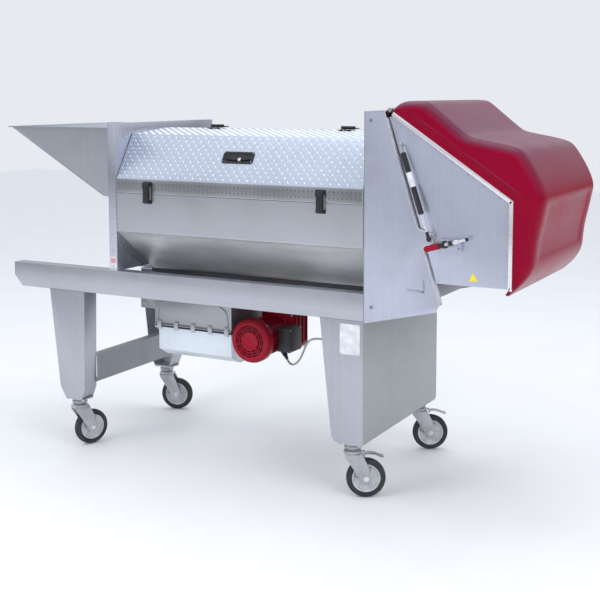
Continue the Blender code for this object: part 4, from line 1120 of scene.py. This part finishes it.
def caster_wheel(wheel, axle):
    """Rubber tyre on its rim."""
    bm = bmesh.new()
    half = [(0.0565, 0.015), (0.06, 0.0165), (0.066, 0.0172), (0.072, 0.0165), (0.0762, 0.014),
            (0.0788, 0.01), (0.0799, 0.0045)]
    profile = [(r, -h) for r, h in half] + [(WHEEL_R, 0.0)] + half[::-1]
    lathe(bm, profile, 72, axle)
    for side in (-1, 1):
        z = side * 0.0172
        lathe(bm, [(0.0655, z - 0.0004 * side), (0.0665, z + 0.0006 * side), (0.0675, z - 0.0004 * side)],
              72, axle)
    piece(f"{wheel}_tyre", bm, "rubber", wheel, stands_for=(wheel,))
    bm = bmesh.new()
    half = [(0.0095, 0.0195), (0.019, 0.0195), (0.0215, 0.0175), (0.0225, 0.009), (0.026, 0.005),
            (0.049, 0.005), (0.0515, 0.008), (0.053, 0.015), (0.0572, 0.0155)]
    lathe(bm, [(r, -h) for r, h in half] + half[::-1], 60, axle)
    for i in range(6):
        turn = axle @ Matrix.Rotation(math.pi * i / 3, 4, "Z")
        for side in (-1, 1):
            low, high = sorted((side * 0.004, side * 0.0115))
            brick(bm, (0.021, -0.0022, low), (0.0525, 0.0022, high), turn)
    piece(f"{wheel}_hub", bm, "hub", wheel, bevel=0.0005)


def caster_fork(fork, at):
    """Pressed crown, two cheeks that sweep back to the axle, ball race and king pin."""
    bm = bmesh.new()
    lathe(bm, [(0, 0.201), (0.02, 0.201), (0.03, 0.1985), (0.036, 0.193), (0.0375, 0.186),
               (0.034, 0.186), (0.033, 0.1915), (0.028, 0.1955), (0, 0.1965)], 44, at, closed=False)
    cheek = [(-0.033, 0.187), (-0.0315, 0.17), (-0.012, 0.142), (0.027, 0.079), (0.032, 0.068),
             (0.042, 0.061), (0.054, 0.059), (0.066, 0.062), (0.074, 0.071), (0.0755, 0.085),
             (0.07, 0.105), (0.056, 0.145), (0.04, 0.178), (0.035, 0.189)]
    for side in (-1, 1):
        start = 0.0225 if side > 0 else -0.0262
        plate(bm, cheek, 0.0037, at @ Matrix.Translation((0, start + 0.0037, 0))
              @ Matrix.Rotation(math.radians(90), 4, "X"))
    brick(bm, (-0.0325, -0.0262, 0.178), (0.036, 0.0262, 0.19), at)
    piece(f"{fork}_frame", bm, "zinc", fork, bevel=0.001, stands_for=(fork,))
    bm = bmesh.new()
    lathe(bm, [(0.006, 0.2), (0.027, 0.2), (0.031, 0.203), (0.033, 0.2085), (0.0325, 0.214),
               (0.029, 0.217), (0.006, 0.2175)], 44, at)
    for i in range(2):
        lathe(bm, [(0.0322, 0.2042 + 0.0055 * i), (0.0345, 0.2055 + 0.0055 * i), (0.0345, 0.207 + 0.0055 * i),
                   (0.0322, 0.2083 + 0.0055 * i)], 44, at)
    piece(f"{fork}_race", bm, "zinc", fork)
    bm = bmesh.new()
    for side in (-1, 1):
        out = at.to_3x3() @ Vector((0, side, 0))
        bolt(bm, at @ Vector((TRAIL, side * 0.0263, WHEEL_R)), out, 0.0105)
    rod(bm, (TRAIL, -0.026, WHEEL_R), (TRAIL, 0.026, WHEEL_R), 0.006, sides=20, at=at)
    piece(f"{fork}_axle", bm, "bright", fork, bevel=0.0003)


def caster_mount(name, x, y):
    """Top plate bolted under the leg."""
    bm = bmesh.new()
    plate(bm, rounded_outline(0.108, 0.079, 0.01), 0.005, Matrix.Translation((x, y, 0.218 + 0.0068)))
    lathe(bm, [(0.006, 0.217), (0.03, 0.2172), (0.034, 0.2195), (0.036, 0.225), (0.006, 0.225)], 44,
          Matrix.Translation((x, y, 0)))
    piece(f"caster_plate_{name}", bm, "zinc", bevel=0.0008)
    bm = bmesh.new()
    for dx in (-0.043, 0.043):
        for dy in (-0.029, 0.029):
            bolt(bm, (x + dx, y + dy, 0.2248), (0, 0, -1), 0.0085)
    piece(f"caster_bolts_{name}", bm, "bright", bevel=0.0002)


def brake_pedal(name, at):
    """Pressed foot pedal with a turned-up toe and grip ribs."""
    bm = bmesh.new()
    spine = [(0.044, 0.182), (0.07, 0.183), (0.088, 0.18), (0.104, 0.1735), (0.116, 0.169), (0.124, 0.17)]
    for (x0, z0), (x1, z1) in zip(spine, spine[1:]):
        wide0 = 0.016 + 0.004 * (x0 - 0.044) / 0.08
        wide1 = 0.016 + 0.004 * (x1 - 0.044) / 0.08
        corners = []
        for cx, cz, wide in ((x0, z0, wide0), (x1, z1, wide1)):
            corners.append([at @ Vector((cx, s * wide, cz + h)) for s in (-1, 1) for h in (-0.003, 0.0)])
        a = [bm.verts.new(p) for p in corners[0]]
        b = [bm.verts.new(p) for p in corners[1]]
        for i, k in ((0, 1), (1, 3), (3, 2), (2, 0)):
            bm.faces.new((a[i], a[k], b[k], b[i]))
        bm.faces.new((a[0], a[2], a[3], a[1]))
        bm.faces.new((b[0], b[1], b[3], b[2]))
    bmesh.ops.remove_doubles(bm, verts=bm.verts, dist=1e-6)
    for k in range(4):
        brick(bm, (0.098 + 0.006 * k, -0.013, 0.1715 - 0.0018 * k),
              (0.1005 + 0.006 * k, 0.013, 0.1772 - 0.0022 * k), at)
    for side in (-1, 1):
        rod(bm, (0.0465, side * 0.0215, 0.18), (0.0465, side * 0.0275, 0.18), 0.0045, sides=16, at=at)
    piece(f"pedal_{name}_lever", bm, "zinc", f"pedal_{name}", bevel=0.0005, stands_for=(f"pedal_{name}",))


def casters():
    for name, (x, y, heading) in CASTERS.items():
        at = Matrix.Translation((x, y, 0)) @ Matrix.Rotation(math.radians(heading), 4, "Z")
        upright = Matrix.Rotation(math.radians(90), 4, "X")
        caster_wheel(f"wheel_{name}", at @ Matrix.Translation((TRAIL, 0, WHEEL_R)) @ upright)
        caster_fork(f"fork_{name}", at)
        caster_mount(name, x, y)
        if name.startswith("right"):
            brake_pedal(name, at)


# Frame, hopper and end plates
def frame_details():
    bm = bmesh.new()
    for y, s in ((FRONT, -1), (BACK, 1)):
        for x0, x1 in ((-1.035, -0.835), (0.36, 0.5517)):
            bead(bm, (x0, y - s * 0.0004, 0.73), (x1, y - s * 0.0004, 0.73), 0.002)
        bead(bm, (-0.645, y - s * 0.0008, 0.8405), (-0.645, y - s * 0.0008, 0.86), 0.0018)
    for y in (-0.3022, 0.3022):
        bead(bm, (-0.884, y, 0.4232), (-0.839, y, 0.4232), 0.0024)
        bead(bm, (-0.884, y, 0.2998), (-0.839, y, 0.2998), 0.0024)
    bead(bm, (0.5535, -0.38, 0.2345), (0.5535, 0.38, 0.2345), 0.0016)
    piece("frame_welds", bm, "dull")
    bm = bmesh.new()
    for s in (-1, 1):
        for z in (0.86, 0.93, 1.000, 1.07, 1.14):
            button(bm, (-0.666, s * 0.3873, z), (0, s, 0), 0.0044)
    for z in [0.3 + 0.085 * i for i in range(7)]:
        for y in (-0.362, 0.362):
            button(bm, (0.5551, y, z), (1, 0, 0), 0.0042)
    for i in range(18):
        angle = 2 * math.pi * i / 18
        y, z = 0.272 * math.cos(angle), 1.2 + 0.272 * math.sin(angle)
        bolt(bm, (0.5551, y, z), (1, 0, 0), 0.006)
    piece("frame_screws", bm, "zinc")


def gusset_details():
    """Fixings, clips and folded edges of the two gussets, and pale strips of painted highlight along their
    flanges.
    """
    bm, clips = bmesh.new(), bmesh.new()
    for s in (-1, 1):
        bolt(bm, (0.58, s * 0.3877, 1.515), (0, s, 0), 0.0065)
        bolt(bm, (0.585, s * 0.3877, 0.79), (0, s, 0), 0.0065)
        low, high = sorted((s * 0.3877, s * 0.3912))
        brick(clips, (0.735, low, 0.867), (0.805, high, 0.873))
        brick(clips, (0.799, low, 0.867), (0.805, high, 0.91))
    piece("gusset_fixings", bm, "dull")
    piece("gusset_clips", clips, "side", bevel=0.0004)
    bm = bmesh.new()
    # folded edge along the slope of each gusset and round the tab of the strut's foot, in bright trim steel
    # that also paints the flange's highlight
    edge = [(0.636, 1.5495), (0.7756, 1.11), (0.843, 1.088), (0.841, 1.062), (0.7978, 1.04), (0.867, 0.822),
            (0.852, 0.7945)]
    for s in (-1, 1):
        for (x0, z0), (x1, z1) in zip(edge, edge[1:]):
            rod(bm, (x0, s * 0.3862, z0), (x1, s * 0.3862, z1), 0.0022, sides=10)
    piece("gusset_edges", bm, "bright")
    bm = bmesh.new()
    # pale strip along the flange of each gusset: a painted highlight, laid over the dark flange
    top, foot = Vector((0.636, 0, 1.55)), Vector((0.867, 0, 0.822))
    way = (foot - top).normalized()
    out = Vector((-way.z, 0, way.x))
    top, foot = top + 0.026 * way, foot - 0.006 * way
    for s in (-1, 1):
        near, deep = Vector((0, s * 0.3828, 0)), Vector((0, s * 0.3545, 0))
        ring = [top + near, foot + near, foot + deep, top + deep]
        slab(bm, [p + 0.0002 * out for p in ring], [p + 0.0016 * out for p in ring])
    piece("gusset_painted_highlights", bm, "edge_highlight", bevel=0.0003)


def blank_plates():
    """Plates and stickers, all left blank."""
    bm = bmesh.new()
    plate(bm, rounded_outline(0.088, 0.122, 0.004), 0.001, facing((0.494, -0.3877, 0.6535), (0, -1, 0)))
    piece("blank_data_plate", bm, "label", bevel=0.0002)
    bm = bmesh.new()
    for dx in (-0.039, 0.039):
        for dz in (-0.056, 0.056):
            button(bm, (0.494 + dx, -0.3886, 0.6535 + dz), (0, -1, 0), 0.0024)
    piece("data_plate_rivets", bm, "zinc")
    bm = bmesh.new()
    plate(bm, rounded_outline(0.034, 0.05, 0.002), 0.0006, facing((-0.666, -0.3876, 0.878), (0, -1, 0)))
    piece("blank_sticker", bm, "label")
    bm = bmesh.new()
    plate(bm, rounded_outline(0.026, 0.022, 0.002), 0.0004, facing((-0.666, -0.3881, 0.886), (0, -1, 0)))
    piece("blank_sticker_patch", bm, "pink")


def hopper_details():
    low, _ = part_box("feed_hopper")
    bm = bmesh.new()
    # rolled rim, and weld seams down the folds
    for s in (-1, 1):
        rod(bm, (low.x + 0.002, s * 0.3853, 1.468), (-0.69, s * 0.3853, 1.468), 0.002, sides=10)
    rod(bm, (low.x + 0.0022, -0.3853, 1.468), (low.x + 0.0022, 0.3853, 1.468), 0.002, sides=10)
    piece("hopper_rim_bead", bm, "sheet")
    bm = bmesh.new()
    for s in (-1, 1):
        bead(bm, (-1.244, s * 0.3752, 1.465), (-0.724, s * 0.3752, 1.17), 0.0016)
        bead(bm, (-0.722, s * 0.3752, 1.1695), (-0.69, s * 0.3752, 1.1695), 0.0016)
        bead(bm, (-0.688, s * 0.376, 1.172), (-0.688, s * 0.376, 1.464), 0.002)
    piece("hopper_welds", bm, "hopper")
    bm = bmesh.new()
    for s in (-1, 1):
        for x in (-1.2, -1.05, -0.9, -0.75):
            button(bm, (x, s * 0.3813, 1.47), (0, 0, 1), 0.0038)
    piece("hopper_rivets", bm, "zinc")


def trough_details():
    bm = bmesh.new()
    for s in (-1, 1):
        for x in (-0.643, 0.55):
            bead(bm, (x, s * 0.387, 1.18), (x, s * 0.387, 1.02), 0.0018)
            bead(bm, (x, s * 0.387, 1.016), (x, s * 0.119, 0.814), 0.0018)
    piece("trough_welds", bm, "dull")
    bm = bmesh.new()
    for s in (-1, 1):
        for i in range(9):
            button(bm, (-0.57 + 0.131 * i, s * 0.3878, 1.178), (0, s, 0), 0.003)
    piece("trough_rivets", bm, "sheet")
    bm = bmesh.new()
    for s in (-1, 1):
        low, high = sorted((s * 0.1335, s * 0.135))
        brick(bm, (-0.644, low, 0.786), (0.551, high, 0.8215))
        rod(bm, (-0.644, s * 0.1342, 0.786), (0.551, s * 0.1342, 0.786), 0.002, sides=10)
    piece("drip_edges", bm, "dark_steel")


def drive_details():
    """Main motor fins and hub screws, seen when the head is open."""
    low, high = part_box("main_motor")
    y, z = 0.1725, 1.0
    bm = bmesh.new()
    for i in range(24):
        turn = Matrix.Translation((0, y, z)) @ Matrix.Rotation(2 * math.pi * i / 24, 4, "X")
        brick(bm, (low.x + 0.022, -0.0014, 0.0765), (high.x - 0.04, 0.0014, 0.0835), turn)
    piece("main_motor_fins", bm, "iron", bevel=0.0003)
    bm = bmesh.new()
    for i in range(4):
        angle = math.pi / 4 + math.pi / 2 * i
        bolt(bm, (0.6935, 0.078 * math.cos(angle), 1.2 + 0.078 * math.sin(angle)), (1, 0, 0), 0.008)
    piece("bearing_bolts", bm, "zinc")


DRESSED = {
    "rail": ("rail_front", "rail_rear"),
    "leg": ("leg_left_front", "leg_left_rear", "leg_right_front", "leg_right_rear"),
    "dull": ("leg_tie", "roller_front", "roller_rear", "trough_outlet"),
    "panel": ("end_panel_lower", "end_plate_right"),
    "inner": ("end_plate_left",),
    "sheet": ("cage", "beater", "drive_wall", "trough_rear"),
    "side": ("gusset_front", "gusset_rear", "head_side_front", "head_side_rear"),
    "trough": ("trough_front",),
    "tread": ("lid", "rear_cover"),
    "hopper": ("feed_hopper",),
    "tray": ("must_tray",),
    "crusher": ("crusher_housing",),
    "iron": ("drive_bearing", "feed_bearing", "cage_pulley", "beater_pulley", "motor_pulley"),
    "hood": ("head_hood",),
    "red": ("crusher_gearbox", "crusher_motor", "main_motor", "clamp_lever"),
    "black": ("hinge_left", "hinge_right", "latch_left", "latch_right", "lid_handle",
              "strut_front_tube", "strut_rear_tube"),
    "belt": ("cage_belt", "beater_belt"),
    "zinc": ("strut_front_rod", "strut_rear_rod", "fork_left_front", "fork_left_rear", "fork_right_front",
             "fork_right_rear", "pedal_right_front", "pedal_right_rear"),
    "rubber": ("wheel_left_front", "wheel_left_rear", "wheel_right_front", "wheel_right_rear"),
}

SOFT = smooth_group()
make_materials()
stage_and_light()
for look, names in DRESSED.items():
    for name in names:
        dress(name, look, 0.0 if name in ("cage", "beater") else 0.0008)

motor_cable()
lids()
lid_handle()
latches()
hood()
hood_trim()
head_details()
struts()
crusher_motor()
terminal_box()
crusher_details()
tray_details()
gearbox_details()
casters()
frame_details()
gusset_details()
blank_plates()
hopper_details()
trough_details()
drive_details()
